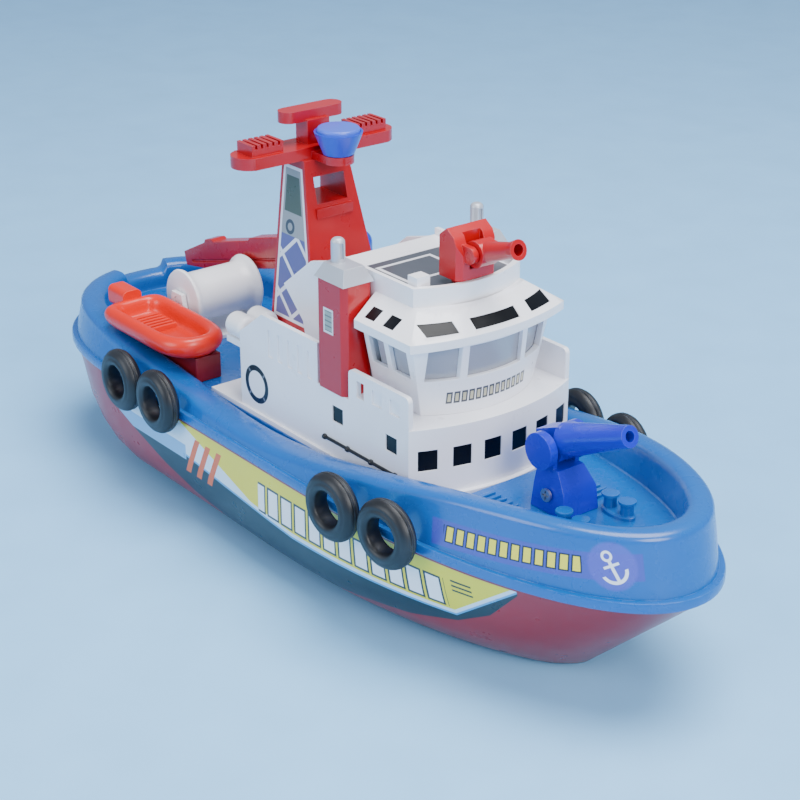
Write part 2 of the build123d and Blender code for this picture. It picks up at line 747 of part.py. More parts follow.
def make_crane_turret():
    """Blue turret with two ears and a pin for the boom."""
    turret = upright(crane_x, crane_y, turret_z, turret_top_z, turret_radius)
    turret = fillet(turret.edges().sort_by(Axis.Z)[-1:], 4.0)
    pivot_x = crane_x - boom_pivot_reach
    for side in (-1, 1):
        y0 = crane_y + side * 3.4 - 0.9
        ear = box(pivot_x, crane_x, y0, y0 + 1.8, boom_pivot_z - 3.2, boom_pivot_z + 3.2)
        turret += ear + athwart(pivot_x, y0, y0 + 1.8, boom_pivot_z, 3.2)
    turret += athwart(pivot_x, crane_y - 4.3, crane_y + 4.3, boom_pivot_z, 1.2)
    turret -= upright(crane_x, crane_y, turret_z - 1, turret_z + 6.3, 2.0 + running_clearance)
    return crane_turn(turret)


def make_crane_boom():
    """Red box boom, deep at its root and slimmer at its tip, with a rounded eye on the pin."""
    px = crane_x - boom_pivot_reach
    half = boom_half_width
    profile = [(-5.5, -5.3), (-5.5, 5.3), (-40.0, 5.3), (-41.0, 4.4), (-61.0, 4.4), (-62.0, 5.3),
               (-66.0, 5.3), (-66.8, 4.2), (-boom_length, 1.4), (-boom_length, -3.6), (-66.0, -5.3)]
    beam = side_profile([(px + s, boom_pivot_z + h) for s, h in profile], crane_y - half, crane_y + half)
    slot = box(px - 76, px - 8, crane_y - half - 1, crane_y - half + 0.6, boom_pivot_z - 2.6,
               boom_pivot_z - 1.8)
    eye = athwart(px, crane_y - 2.3, crane_y + 2.3, boom_pivot_z, 3.0)
    neck = box(px - 8, px, crane_y - 2.3, crane_y + 2.3, boom_pivot_z - 2.6, boom_pivot_z + 2.6)
    boom = beam + eye + neck - slot
    boom -= athwart(px, crane_y - 5, crane_y + 5, boom_pivot_z, 1.2 + running_clearance)
    droop = Pos(px, 0, boom_pivot_z) * Rot(0, -boom_droop, 0) * Pos(-px, 0, -boom_pivot_z)
    return crane_turn(droop * boom)


def flange_half_breadth(x):
    """Half breadth of the rub flange at a place along the boat."""
    beam = hull_half_beam + flange_lip
    if x > bow_shoulder_x:
        u = (x - bow_shoulder_x) / (keel_tip_x + stem_rake * seam_z + flange_lip - bow_shoulder_x)
        return beam * (1 - u**seam_bow_fullness) ** 0.476
    return beam


def make_tyre(x, side):
    """Black tyre fender with rounded shoulders, hung on a peg that plugs into the flange."""
    lean = 0.0
    if x > bow_shoulder_x:
        ahead = flange_half_breadth(x + tyre_radius) - flange_half_breadth(x - tyre_radius)
        lean = math.degrees(math.atan2(ahead, 2 * tyre_radius))
    face = flange_half_breadth(x) + 0.05
    if x > bow_shoulder_x:
        face += 0.5
    tyre = athwart(0, 0, tyre_thickness, 0, tyre_radius)
    tyre = fillet(tyre.edges(), 2.4)
    hole = athwart(0, -1, tyre_thickness + 1, 0, tyre_hole_radius)
    tyre -= hole
    tyre = Pos(x, face, tyre_z) * Rot(0, 0, lean) * tyre
    if side < 0:
        tyre = mirrored(tyre)
    return tyre


def make_cannon_pedestal():
    """Royal blue pedestal that turns in the foredeck and holds the tilting head."""
    z0 = deck_z + foredeck_rise + gap / 3
    b = cannon_base / 2
    low = Plane.XY.offset(z0) * Pos(cannon_x, 0) * Rectangle(2 * b, 2 * b)
    mid = Plane.XY.offset(z0 + 7) * Pos(cannon_x, 0) * Rectangle(2 * b - 1, 2 * b - 1)
    high = Plane.XY.offset(cannon_top_z) * Pos(cannon_x - 2.0, 0) * Rectangle(8.0, 9.4)
    body = loft([low, mid, high], ruled=True)
    body += upright(cannon_x, 0, deck_z - 2.4, z0 + 0.5, 3.5)
    ears_x = cannon_pivot_x
    for side in (-1, 1):
        y0 = side * 4.0 - 0.7
        body += box(ears_x - 3.2, ears_x + 3.2, y0, y0 + 1.4, cannon_top_z - 4, cannon_pivot_z)
        body += athwart(ears_x, y0, y0 + 1.4, cannon_pivot_z, 3.2)
    body -= athwart(ears_x, -8, 8, cannon_pivot_z, 1.3)
    body -= upright(cannon_x, 0, deck_z - 3, z0 + 3, 1.6)
    return body - athwart(cannon_x, -b - 1, -b + 3.0, cannon_screw_z, 1.3)


def make_cannon_screw():
    """Cross-head self-tapping screw in the pedestal's side."""
    b = cannon_base / 2
    screw = athwart(cannon_x, -b - 0.1, -b + 2.9, cannon_screw_z, 1.2)
    head = athwart(cannon_x, -b - 0.7, -b - 0.02, cannon_screw_z, 1.9)
    for turn in (0, 90):
        slot = box(-1.3, 1.3, -b - 1.0, -b - 0.2, -0.25, 0.25)
        head -= Pos(cannon_x, 0, cannon_screw_z) * Rot(0, turn, 0) * slot
    return screw + head


def make_cannon_head():
    """Tilting cannon head: side drums, breech and a tapered barrel."""
    px = cannon_pivot_x
    pz = cannon_pivot_z
    core = athwart(px, -3.1, 3.1, pz, 4.6)
    head = core + athwart(px, -7.6, 7.6, pz, 1.3 - running_clearance)
    for side in (-1, 1):
        y0 = 5.0 if side > 0 else -7.6
        head += athwart(px, y0, y0 + 2.6, pz, 5.2)
    body = box(-4.2, 5.5, -3.1, 3.1, 0.0, 5.4)
    barrel = Pos(5.0 + cannon_barrel_length / 2 - 1.0, 0, 1.2) * Rot(0, 90, 0) * Cone(
        4.9, 3.0, cannon_barrel_length)
    barrel -= Pos(5.0 + cannon_barrel_length - 6.0, 0, 1.2) * Rot(0, 90, 0) * Cylinder(1.5, 14.0)
    lifted = Pos(px, 0, pz) * Rot(0, -cannon_pitch, 0) * (body + barrel)
    return head + lifted


def make_monitor_base():
    """Red roof monitor body on a round foot that turns inside the roof coaming."""
    z0 = roof_z + gap / 3
    z1 = coaming_z + gap
    x0 = monitor_x - monitor_length / 2
    x1 = monitor_x + monitor_length / 2
    h = monitor_half_width
    top = monitor_top_z
    body = side_profile([(x0, z1), (x1, z1), (x1, top - 7.0), (x1 - 2.5, top - 2.0), (x0 + 4.5, top),
                         (x0 + 1.4, top - 2.5), (x0, top - 6.5)], -h, h)
    body = chamfer(body.edges().filter_by(Axis.Z), 1.5)
    body -= box(monitor_pivot_x - 4.9, x1 + 1, -3.2, 3.2, monitor_pivot_z - 4.6, top + 1)
    for side in (-1, 1):
        y0 = side * 4.1 - 0.9
        ear = box(x1 - 3, monitor_pivot_x, y0, y0 + 1.8, monitor_pivot_z - 2.4, monitor_pivot_z + 2.4)
        body += ear + athwart(monitor_pivot_x, y0, y0 + 1.8, monitor_pivot_z, 2.4)
    body -= athwart(monitor_pivot_x, -10, 10, monitor_pivot_z, 1.1)
    body += upright(monitor_x, 0, z0, z1 + 0.5, 4.2)
    return body + upright(monitor_x, 0, roof_z - 1.4, z0 + 0.5, 2.5)


def make_monitor_nozzle():
    """Red tilting nozzle with a flared mouth."""
    n = monitor_nozzle_length
    tube = Pos(n / 2, 0, 0) * Rot(0, 90, 0) * Cone(3.1, 2.1, n)
    tube += Pos(n - 2.0, 0, 0) * Rot(0, 90, 0) * Cone(2.2, 2.9, 4.0)
    tube -= Pos(n - 3.0, 0, 0) * Rot(0, 90, 0) * Cylinder(1.6, 8.0)
    lifted = Pos(monitor_pivot_x, 0, monitor_pivot_z) * Rot(0, -monitor_pitch, 0) * tube
    knuckle = athwart(monitor_pivot_x, -3.0, 3.0, monitor_pivot_z, 3.8)
    return lifted + knuckle + athwart(monitor_pivot_x, -4.9, 4.9, monitor_pivot_z, 1.1 - running_clearance)


def make_propeller():
    """Three-bladed propeller."""
    hub = lengthwise(propeller_x - 3.5, propeller_x + 3.5, 0, 0, 2.4)
    for k in range(3):
        blade = Pos(propeller_x, 0, 0) * Rot(0, 0, 32) * box(-0.7, 0.7, -2.6, 2.6, 1.5, propeller_radius - 0.1)
        hub += Rot(120 * k, 0, 0) * blade
    hub -= lengthwise(propeller_x - 5, propeller_x + 5, 0, 0, shaft_radius)
    return Pos(0, 0, shaft_z) * hub


def make_propeller_shaft():
    """Steel shaft from the motor to the propeller."""
    return lengthwise(propeller_x - 3.5, motor_x - motor_length / 2 - 0.2, 0, shaft_z, shaft_radius)


def make_stern_tube():
    """Brass tube that carries the shaft through the tunnel wall."""
    x0 = tunnel_front_x - 1.6
    x1 = motor_x - motor_length / 2 - 1.2
    tube = lengthwise(x0, x1, 0, shaft_z, stern_tube_radius())
    return tube - lengthwise(x0 - 1, x1 + 1, 0, shaft_z, shaft_radius + running_clearance)


def make_drive_motor():
    """Small round can motor with flats."""
    can = lengthwise(motor_x - motor_length / 2, motor_x + motor_length / 2, 0, shaft_z, motor_radius)
    return can & box(-200, 200, -7.6, 7.6, wall, 60)


def make_motor_mount():
    """Cradle that clips the motor to the keel."""
    x0 = motor_x - 8
    x1 = motor_x + 8
    block = box(x0, x1, -10.2, 10.2, wall, shaft_z - 2)
    return block - box(x0 - 1, x1 + 1, -7.65, 7.65, wall + 1.2, shaft_z + 10)


def make_rudder():
    """Rudder blade on its stock."""
    blade = side_profile([(rudder_x + 3.5, 3.0), (rudder_x - 8.0, 3.0), (rudder_x - 9.5, tunnel_top_z - 2.5),
                          (rudder_x + 3.5, tunnel_top_z - 2.5)], -0.9, 0.9)
    blade = fillet(blade.edges().filter_by(Axis.Z), 0.7)
    return blade + upright(rudder_x, 0, 8, tunnel_top_z + 5, 1.5)


def make_battery_box():
    """Battery tray with walls round the cells."""
    half_w = bay_half_width() + 1.2
    half_l = bay_half_length() + 1.2
    top = cell_z + cell_radius + 1.8
    tray = box(bay_x - half_l, bay_x + half_l, -half_w, half_w, wall, top)
    return tray - box(bay_x - half_l + 1.2, bay_x + half_l - 1.2, -half_w + 1.2, half_w - 1.2, wall - 1, top - 1.2)


def make_battery_door():
    """Battery door, flush in the keel and held by one screw."""
    half_w = bay_half_width() - 0.25
    half_l = bay_half_length() - 0.25
    door = box(bay_x - half_l, bay_x + half_l, -half_w, half_w, 0.2, wall)
    for k in range(5):
        x = bay_x - half_l + 5 + 2.5 * k
        door -= box(x, x + 1.0, -8, 8, 0, 0.6)
    return door - upright(door_screw_x(), 0, 0, wall + 1, screw_radius + 0.1)


def door_screw_x():
    return bay_x + bay_half_length() - 4.0


def cell_place_y(k):
    return (k - (cell_count - 1) / 2) * cell_pitch


def make_battery_cell(k):
    """One AA cell."""
    y = cell_place_y(k)
    body = lengthwise(bay_x - cell_length / 2, bay_x + cell_length / 2 - 1.5, y, cell_z, cell_radius)
    return body + lengthwise(bay_x, bay_x + cell_length / 2, y, cell_z, 2.7)


def make_battery_contacts():
    """Spring plates at both ends of each cell."""
    plates = []
    for k in range(cell_count):
        y = cell_place_y(k)
        for x0 in (bay_x - bay_half_length() + 0.05, bay_x + bay_half_length() - 0.65):
            plates.append(box(x0, x0 + 0.6, y - 5, y + 5, cell_z - 5, cell_z + 5))
    return Compound(children=[plate.solid() for plate in plates])


def make_pump_motor():
    """Pump motor standing on the pump housing."""
    z0 = pump_base_z + 10.0
    return upright(pump_x, 0, z0, z0 + 18.0, 8.0)


def make_pump_housing():
    """Round pump housing with an inlet below and an outlet towards the bow."""
    z0 = pump_base_z
    body = upright(pump_x, 0, z0, z0 + 10.0, pump_radius)
    body += lengthwise(pump_x, pump_x + pump_radius + 5, 0, z0 + 5, hose_radius - 0.9)
    body -= upright(pump_x, 0, z0 + 1.5, z0 + 8.5, pump_radius - 1.6)
    body -= upright(pump_x, 0, z0 - 1, z0 + 3, 4.0)
    body -= upright(pump_x, 0, z0 + 8, z0 + 11, 1.0 + running_clearance)
    body -= lengthwise(pump_x + 5, pump_x + pump_radius + 6, 0, z0 + 5, 1.0)
    for turn in range(3):
        leg = box(pump_radius - 2.5, pump_radius - 0.5, -1.2, 1.2, wall, z0 + 0.2)
        body += Pos(pump_x, 0, 0) * Rot(0, 0, 120 * turn + 60) * leg
    return body


def make_pump_impeller():
    """Vaned wheel inside the pump."""
    z0 = pump_base_z + 1.9
    wheel = upright(pump_x, 0, z0 + 4.5, z0 + 5.7, pump_radius - 2.6)
    wheel += upright(pump_x, 0, z0 + 4.5, z0 + 8.0, 1.0)
    for k in range(6):
        vane = box(2.0, pump_radius - 2.8, -0.5, 0.5, z0 + 1.0, z0 + 4.6)
        wheel += Pos(pump_x, 0, 0) * Rot(0, 0, 60 * k) * vane
    return wheel


def make_intake_strainer():
    """Slotted water intake in the keel."""
    disc = upright(pump_x, 0, 0.3, wall, strainer_radius() - 0.05)
    for k in range(5):
        y = (k - 2) * 2.4
        disc -= box(pump_x - 4.5, pump_x + 4.5, y - 0.5, y + 0.5, 0, wall + 1)
    return disc


def make_pump_hose():
    """Hose from the pump outlet up to the cannon's foot."""
    z0 = pump_base_z + 5
    path = FilletPolyline((pump_x + pump_radius + 1.2, 0, z0), (cannon_x - 12, 0, z0),
                          (cannon_x, 0, z0 + 12), (cannon_x, 0, deck_z - 3.2),
                          radius=[9.0, 9.0])
    start = Plane(path @ 0, z_dir=path % 0)
    tube = sweep(start * Circle(hose_radius), path=path)
    bore = sweep(start * Circle(hose_radius - 0.85), path=path)
    return tube - bore


def make_switch_body():
    """Slide switch under a window in the keel."""
    x = switch_x
    body = box(x - 7.5, x + 7.5, -8.0, 8.0, wall, wall + 7.5)
    return body - box(x - 5.2, x + 5.2, -5.4, 5.4, wall - 1, wall + 3.0)


def make_switch_slider():
    """Knob of the slide switch."""
    x = switch_x - switch_travel / 2
    knob = box(x - 2.5, x + 2.5, -4.6, 4.6, wall + 0.2, wall + 2.8)
    return knob + box(x - 1.3, x + 1.3, -3.6, 3.6, 0.5, wall + 0.5)


def make_hull_screws():
    """Screws that join the red and the blue moulding."""
    screws = []
    for x, y in boss_places:
        for side in (-1, 1):
            screw = upright(x, side * y, 5.1, deck_z - 2.2, screw_radius - 0.05)
            head = upright(x, side * y, 2.9, 5.0, screw_head_radius)
            head -= upright(x, side * y, 2.0, 3.9, 0.9)
            screws.append((upright(x, side * y, 4.9, 5.2, screw_radius - 0.05) + screw + head).solid())
    return Compound(children=screws)


def make_door_screw():
    """Screw of the battery door."""
    x = door_screw_x()
    return upright(x, 0, 0.4, wall + 0.6, screw_radius)


nodes = {
    "lower_hull": make_lower_hull(),
    "upper_hull": make_upper_hull(),
    "deckhouse": make_deckhouse(),
    "deckhouse_windows": make_house_windows(),
    "wheelhouse": make_wheelhouse(),
    "wheelhouse_glazing": make_wheelhouse_glazing(),
    "wheelhouse_roof": make_wheelhouse_roof(),
    "brow_windows": make_brow_windows(),
    "mast": make_mast(),
    "funnel_starboard": make_funnel(),
    "funnel_port": mirrored(make_funnel()),
    "exhaust_cap_starboard": make_exhaust_cap(),
    "exhaust_cap_port": mirrored(make_exhaust_cap()),
    "life_raft_canisters": make_life_raft_canisters(),
    "boat_cradle": make_boat_cradle(),
    "rescue_boat": make_rescue_boat(),
    "outboard_motor": make_outboard_motor(),
    "winch_frame": make_winch_frame(),
    "winch_drum": make_winch_drum(),
    "crane_column": make_crane_column(),
    "crane_turret": make_crane_turret(),
    "crane_boom": make_crane_boom(),
    "radar_dish": make_radar_dish(),
    "radar_lid": make_radar_lid(),
    "cannon_pedestal": make_cannon_pedestal(),
    "cannon_screw": make_cannon_screw(),
    "cannon_head": make_cannon_head(),
    "monitor_base": make_monitor_base(),
    "monitor_nozzle": make_monitor_nozzle(),
    "propeller": make_propeller(),
    "propeller_shaft": make_propeller_shaft(),
    "stern_tube": make_stern_tube(),
    "drive_motor": make_drive_motor(),
    "motor_mount": make_motor_mount(),
    "rudder": make_rudder(),
    "battery_box": make_battery_box(),
    "battery_door": make_battery_door(),
    "battery_contacts": make_battery_contacts(),
    "pump_motor": make_pump_motor(),
    "pump_housing": make_pump_housing(),
    "pump_impeller": make_pump_impeller(),
    "intake_strainer": make_intake_strainer(),
    "pump_hose": make_pump_hose(),
    "switch_body": make_switch_body(),
    "switch_slider": make_switch_slider(),
    "hull_screws": make_hull_screws(),
    "door_screw": make_door_screw(),
}
for k in range(cell_count):
    nodes[f"battery_cell_{k + 1}"] = make_battery_cell(k)
for k, x in enumerate(tyre_places_x):
    nodes[f"tyre_fender_starboard_{k + 1}"] = make_tyre(x, -1)
    nodes[f"tyre_fender_port_{k + 1}"] = make_tyre(x, 1)

os.makedirs("parts", exist_ok=True)
for name, shape in nodes.items():
    export_step(shape, f"parts/{name}.step")
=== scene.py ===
import json
import math

import bmesh
import bpy
import numpy as np
from mathutils import Matrix, Vector


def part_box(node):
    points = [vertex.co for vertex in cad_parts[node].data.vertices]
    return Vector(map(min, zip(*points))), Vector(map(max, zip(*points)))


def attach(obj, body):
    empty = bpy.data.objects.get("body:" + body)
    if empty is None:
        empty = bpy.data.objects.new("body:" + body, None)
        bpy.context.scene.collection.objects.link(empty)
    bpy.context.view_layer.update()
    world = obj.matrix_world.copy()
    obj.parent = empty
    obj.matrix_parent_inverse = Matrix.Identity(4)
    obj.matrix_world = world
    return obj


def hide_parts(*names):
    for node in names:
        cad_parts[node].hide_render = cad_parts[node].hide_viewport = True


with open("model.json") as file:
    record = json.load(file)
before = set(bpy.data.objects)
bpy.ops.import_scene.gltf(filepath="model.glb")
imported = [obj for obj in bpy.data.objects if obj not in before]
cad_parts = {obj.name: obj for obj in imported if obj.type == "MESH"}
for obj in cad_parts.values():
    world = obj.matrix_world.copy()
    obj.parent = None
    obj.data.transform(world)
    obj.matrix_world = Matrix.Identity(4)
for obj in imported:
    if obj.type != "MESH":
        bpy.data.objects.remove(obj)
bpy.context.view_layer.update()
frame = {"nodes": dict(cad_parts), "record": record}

MM = 0.001

# ---------------------------------------------------------------------------
# Red hull: one thin injection moulding in dark red ABS, glossy from the tool,
# with the side stickers pressed on above the waterline.  It is screwed to the
# blue moulding through four bosses in the keel.


def srgb(red, green, blue):
    """Linear colour of a paint given in everyday 0 to 255 steps."""
    def line(value):
        v = value / 255
        return v / 12.92 if v <= 0.04045 else ((v + 0.055) / 1.055) ** 2.4
    return (line(red), line(green), line(blue), 1.0)


class Finish:
    """Node material of one finish: body colour, printed areas, grain, edge wear and gloss."""

    def __init__(self, name, colour, roughness=0.3):
        self.material = bpy.data.materials.new(name)
        self.material.use_nodes = True
        self.tree = self.material.node_tree
        self.shader = self.tree.nodes["Principled BSDF"]
        self.base = roughness
        self.colour = colour
        self.where = self.node("ShaderNodeTexCoord").outputs["Object"]
        split = self.node("ShaderNodeSeparateXYZ")
        self.tree.links.new(self.where, split.inputs[0])
        self.x, self.y, self.z = split.outputs

    def node(self, kind):
        return self.tree.nodes.new(kind)

    def feed(self, socket, value):
        """Link a socket, or set it where the value is plain."""
        if isinstance(value, bpy.types.NodeSocket):
            self.tree.links.new(value, socket)
        else:
            socket.default_value = value

    def calc(self, operation, a, b=0.0, c=0.0, clamp=False):
        step = self.node("ShaderNodeMath")
        step.operation = operation
        step.use_clamp = clamp
        for socket, value in zip(step.inputs, (a, b, c)):
            self.feed(socket, value)
        return step.outputs[0]

    def above(self, value, limit, soft=0.15 * MM):
        """1 where the value is over the limit."""
        return self.calc("MULTIPLY_ADD", value, 1 / soft, 0.5 - limit / soft, clamp=True)

    def below(self, value, limit, soft=0.15 * MM):
        return self.calc("MULTIPLY_ADD", value, -1 / soft, 0.5 + limit / soft, clamp=True)

    def between(self, value, low, high, soft=0.15 * MM):
        return self.both(self.above(value, low, soft), self.below(value, high, soft))

    def both(self, *masks):
        result = masks[0]
        for mask in masks[1:]:
            result = self.calc("MULTIPLY", result, mask)
        return result

    def either(self, *masks):
        result = masks[0]
        for mask in masks[1:]:
            result = self.calc("MAXIMUM", result, mask)
        return result

    def away(self, mask):
        return self.calc("SUBTRACT", 1.0, mask)

    def reach(self, a, b, centre_a, centre_b, squeeze=1.0):
        """Distance from a centre in the plane of two values, the second one squeezed."""
        da = self.calc("SUBTRACT", a, centre_a)
        db = self.calc("MULTIPLY", self.calc("SUBTRACT", b, centre_b), squeeze)
        squares = self.calc("ADD", self.calc("MULTIPLY", da, da), self.calc("MULTIPLY", db, db))
        return self.calc("SQRT", squares)

    def bars(self, value, pitch, share):
        """1 on the first share of every pitch."""
        step = self.calc("FRACT", self.calc("DIVIDE", value, pitch))
        return self.calc("LESS_THAN", step, share)

    def mottle(self, scale, detail=2.0):
        cloud = self.node("ShaderNodeTexNoise")
        self.feed(cloud.inputs["Vector"], self.where)
        cloud.inputs["Scale"].default_value = scale
        cloud.inputs["Detail"].default_value = detail
        return cloud.outputs["Fac"]

    def paint(self, mask, colour):
        """Lay a colour over what is there, where the mask is 1."""
        mix = self.node("ShaderNodeMix")
        mix.data_type = "RGBA"
        self.feed(mix.inputs[0], mask)
        self.feed(mix.inputs[6], self.colour)
        self.feed(mix.inputs[7], colour)
        self.colour = mix.outputs[2]

    def done(self, worn=(1, 1, 1, 1), wear=0.25, grain=1.0, coat=0.0, metal=0.0, edge=0.45 * MM):
        """Add the wear, the grain and the tool's slight waviness, then hand over the material."""
        bevel = self.node("ShaderNodeBevel")
        bevel.samples = 4
        bevel.inputs["Radius"].default_value = edge
        turned = self.node("ShaderNodeVectorMath")
        turned.operation = "DOT_PRODUCT"
        self.tree.links.new(bevel.outputs[0], turned.inputs[0])
        self.tree.links.new(self.node("ShaderNodeNewGeometry").outputs["Normal"], turned.inputs[1])
        sharp = self.calc("MULTIPLY_ADD", turned.outputs["Value"], -7.0, 6.86, clamp=True)
        rubbed = self.both(sharp, self.calc("MULTIPLY_ADD", self.mottle(260), 3.0, -1.1, clamp=True))
        self.paint(self.calc("MULTIPLY", rubbed, wear), worn)
        tone = self.node("ShaderNodeHueSaturation")
        self.feed(tone.inputs["Color"], self.colour)
        self.feed(tone.inputs["Value"], self.calc("MULTIPLY_ADD", self.mottle(38, 3.0), 0.16, 0.92))
        self.feed(self.shader.inputs["Base Color"], tone.outputs["Color"])
        smear = self.calc("MULTIPLY_ADD", self.mottle(140, 4.0), 0.16, self.base - 0.08)
        self.feed(self.shader.inputs["Roughness"], self.calc("MULTIPLY_ADD", rubbed, 0.15, smear))
        fine = self.calc("MULTIPLY", self.mottle(2600), 0.10 * grain)
        height = self.calc("MULTIPLY_ADD", self.mottle(70, 1.0), 2.2, fine)
        bump = self.node("ShaderNodeBump")
        bump.inputs["Distance"].default_value = 0.12 * MM
        bump.inputs["Strength"].default_value = 0.8
        self.feed(bump.inputs["Height"], height)
        self.feed(self.shader.inputs["Normal"], bump.outputs["Normal"])
        self.shader.inputs["Metallic"].default_value = metal
        self.shader.inputs["Coat Weight"].default_value = coat
        self.shader.inputs["Coat Roughness"].default_value = 0.12
        self.shader.inputs["IOR"].default_value = 1.49
        return self.material


def dress(thing, material):
    """Give a mesh one material."""
    thing.data.materials.clear()
    thing.data.materials.append(material)


def to_object(name, mesh, material):
    """Object of a finished mesh, at the origin."""
    piece = bpy.data.objects.new(name, mesh)
    bpy.context.scene.collection.objects.link(piece)
    dress(piece, material)
    return piece


def settled(piece):
    """Bake the piece's modifiers into its mesh."""
    graph = bpy.context.evaluated_depsgraph_get()
    made = bpy.data.meshes.new_from_object(piece.evaluated_get(graph), depsgraph=graph)
    piece.modifiers.clear()
    piece.data = made
    return piece


def softened(node, name, material, edge=0.45, angle=40):
    """The shape of a CAD node as one merged mesh, with its moulded edges rounded off."""
    mesh = frame["nodes"][node].data.copy()
    shape = bmesh.new()
    shape.from_mesh(mesh)
    bmesh.ops.remove_doubles(shape, verts=shape.verts, dist=2e-6)
    bmesh.ops.dissolve_limit(shape, angle_limit=math.radians(0.6), verts=shape.verts, edges=shape.edges)
    for face in shape.faces:
        face.smooth = True
    shape.to_mesh(mesh)
    shape.free()
    for layer in [a for a in mesh.attributes if a.name in ("custom_normal", "sharp_face")]:
        mesh.attributes.remove(layer)
    piece = to_object(name, mesh, material)
    if edge:
        bevel = piece.modifiers.new("edges", "BEVEL")
        bevel.width = edge * MM
        bevel.segments = 2
        bevel.limit_method = "ANGLE"
        bevel.angle_limit = math.radians(angle)
    settled(piece)
    piece.data.set_sharp_from_angle(angle=math.radians(50))
    even = piece.modifiers.new("normals", "WEIGHTED_NORMAL")
    even.keep_sharp = True
    return settled(piece)


side_red = srgb(150, 4, 24)
hull_finish = Finish("red_hull_moulding", side_red, 0.3)
h = hull_finish
flank = h.above(h.calc("ABSOLUTE", h.y), 20 * MM)
def straight(finish, slope, start):
    """Height in metres of a straight edge that starts at a height in mm and climbs along the boat."""
    return finish.calc("MULTIPLY_ADD", finish.x, slope, start * MM)


def highest(finish, *lines):
    """The highest of several edges."""
    result = lines[0]
    for line in lines[1:]:
        result = finish.calc("MAXIMUM", result, line)
    return result


# The side sticker comes to a point at both ends: a dark band below, a pale
# line along it, a yellow field above and a row of plain blocks on the field.
band_low = highest(h, straight(h, -0.35, -2.0), straight(h, 0.0, 5.5), straight(h, 0.153, 1.45),
                   straight(h, 0.286, -7.05), straight(h, 0.543, -28.0), straight(h, 1.0, -70.5))
band_top = highest(h, straight(h, -0.0975, 20.4), straight(h, 0.0, 18.6), straight(h, 0.717, -40.1))
field_low = highest(h, h.calc("ADD", band_top, 1.6 * MM), straight(h, -0.32, 21.5))
strip = h.both(flank, h.between(h.x, -84 * MM, 104 * MM), h.below(h.z, 34.9 * MM),
               h.above(h.calc("SUBTRACT", h.z, band_low), 0.0))
h.paint(strip, srgb(6, 28, 40))
over_band = h.both(strip, h.above(h.calc("SUBTRACT", h.z, band_top), 0.0))
h.paint(over_band, srgb(214, 232, 246))
from_band = h.calc("ABSOLUTE", h.calc("SUBTRACT", h.z, band_top))
h.paint(h.both(strip, h.below(from_band, 0.35 * MM)), srgb(70, 160, 214))
aft_pale = h.both(strip, h.below(h.x, -38 * MM), h.above(h.z, 22.5 * MM))
h.paint(h.both(aft_pale, h.below(h.z, 27.5 * MM)), srgb(120, 176, 222))
field = h.both(strip, h.above(h.calc("SUBTRACT", h.z, field_low), 0.0), h.above(h.x, -52 * MM))
h.paint(field, srgb(238, 218, 24))
words = h.both(flank, h.between(h.x, 2 * MM, 80.6 * MM), h.between(h.z, 20.9 * MM, 30.6 * MM))
h.paint(h.both(words, h.bars(h.x, 6.7 * MM, 0.88)), srgb(24, 32, 42))
inside = h.both(flank, h.between(h.x, 2 * MM, 80.6 * MM), h.between(h.z, 21.6 * MM, 29.9 * MM))
h.paint(h.both(inside, h.bars(h.calc("SUBTRACT", h.x, 0.7 * MM), 6.7 * MM, 0.68)), srgb(244, 246, 250))
ribs = h.both(flank, h.between(h.x, 83 * MM, 89.5 * MM), h.between(h.z, 27.2 * MM, 31.6 * MM))
h.paint(h.both(ribs, h.bars(h.z, 1.6 * MM, 0.4)), srgb(24, 28, 34))
# Ahead of the aft fenders the sticker carries three plain slanting orange bars.
slant = h.calc("SUBTRACT", h.x, h.calc("MULTIPLY", h.z, 0.5))
bar_block = h.both(flank, h.between(slant, -48 * MM, -31.2 * MM), h.between(h.z, 18.5 * MM, 31.5 * MM))
h.paint(h.both(bar_block, h.bars(slant, 6.0 * MM, 0.45)), srgb(226, 92, 14))
red_hull = hull_finish.done(worn=srgb(210, 90, 105), wear=0.3, coat=0.25)

hull = softened("lower_hull", "red_hull", red_hull, edge=0.0)
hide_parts("lower_hull")
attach(hull, "root")

# ---------------------------------------------------------------------------
# Blue deck moulding: one piece of glossy blue ABS with the rub flange, the
# bulwark with its thick rolled rim, the towing notch and the well deck.  The
# bow stickers are pressed on below the rim.

seam_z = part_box("upper_hull")[0].z / MM + 2.0 - 0.05
flange_top_z = seam_z + 3.0
flange_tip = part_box("upper_hull")[1].x / MM
flange_beam = 43.5        # half breadth of the rub flange
deck_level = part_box("deckhouse")[0].z / MM
foredeck_level = deck_level + 2.0
well_tip, well_tail, well_beam = 127.0, -129.8, 31.2
rim_roll = 2.9


def quarter_points():
    """Parameters from the stern round the port side to the bow: zone and share."""
    aft = [("aft", math.cos(math.pi / 2 * k / 64)) for k in range(65)]
    mid = [("mid", k / 12) for k in range(1, 12)]
    shares = [math.sin(math.pi / 2 * k / 76) for k in range(77)]
    shares += [(65.8 - 20) / (well_tip - 20), (66.5 - 20) / (well_tip - 20)]
    return aft + mid + [("fore", u) for u in sorted(shares)]


def waterline_point(place, tip, tail, beam, fullness):
    """Point of a horizontal section: round stern, parallel middle, bow of the given fullness."""
    zone, u = place
    if zone == "aft":
        return -72 + (tail + 72) * u, beam * max(1 - u**3, 0) ** 0.455
    if zone == "mid":
        return -72 + 92 * u, beam
    return 20 + (tip - 20) * u, beam * max(1 - u**fullness, 0) ** 0.476


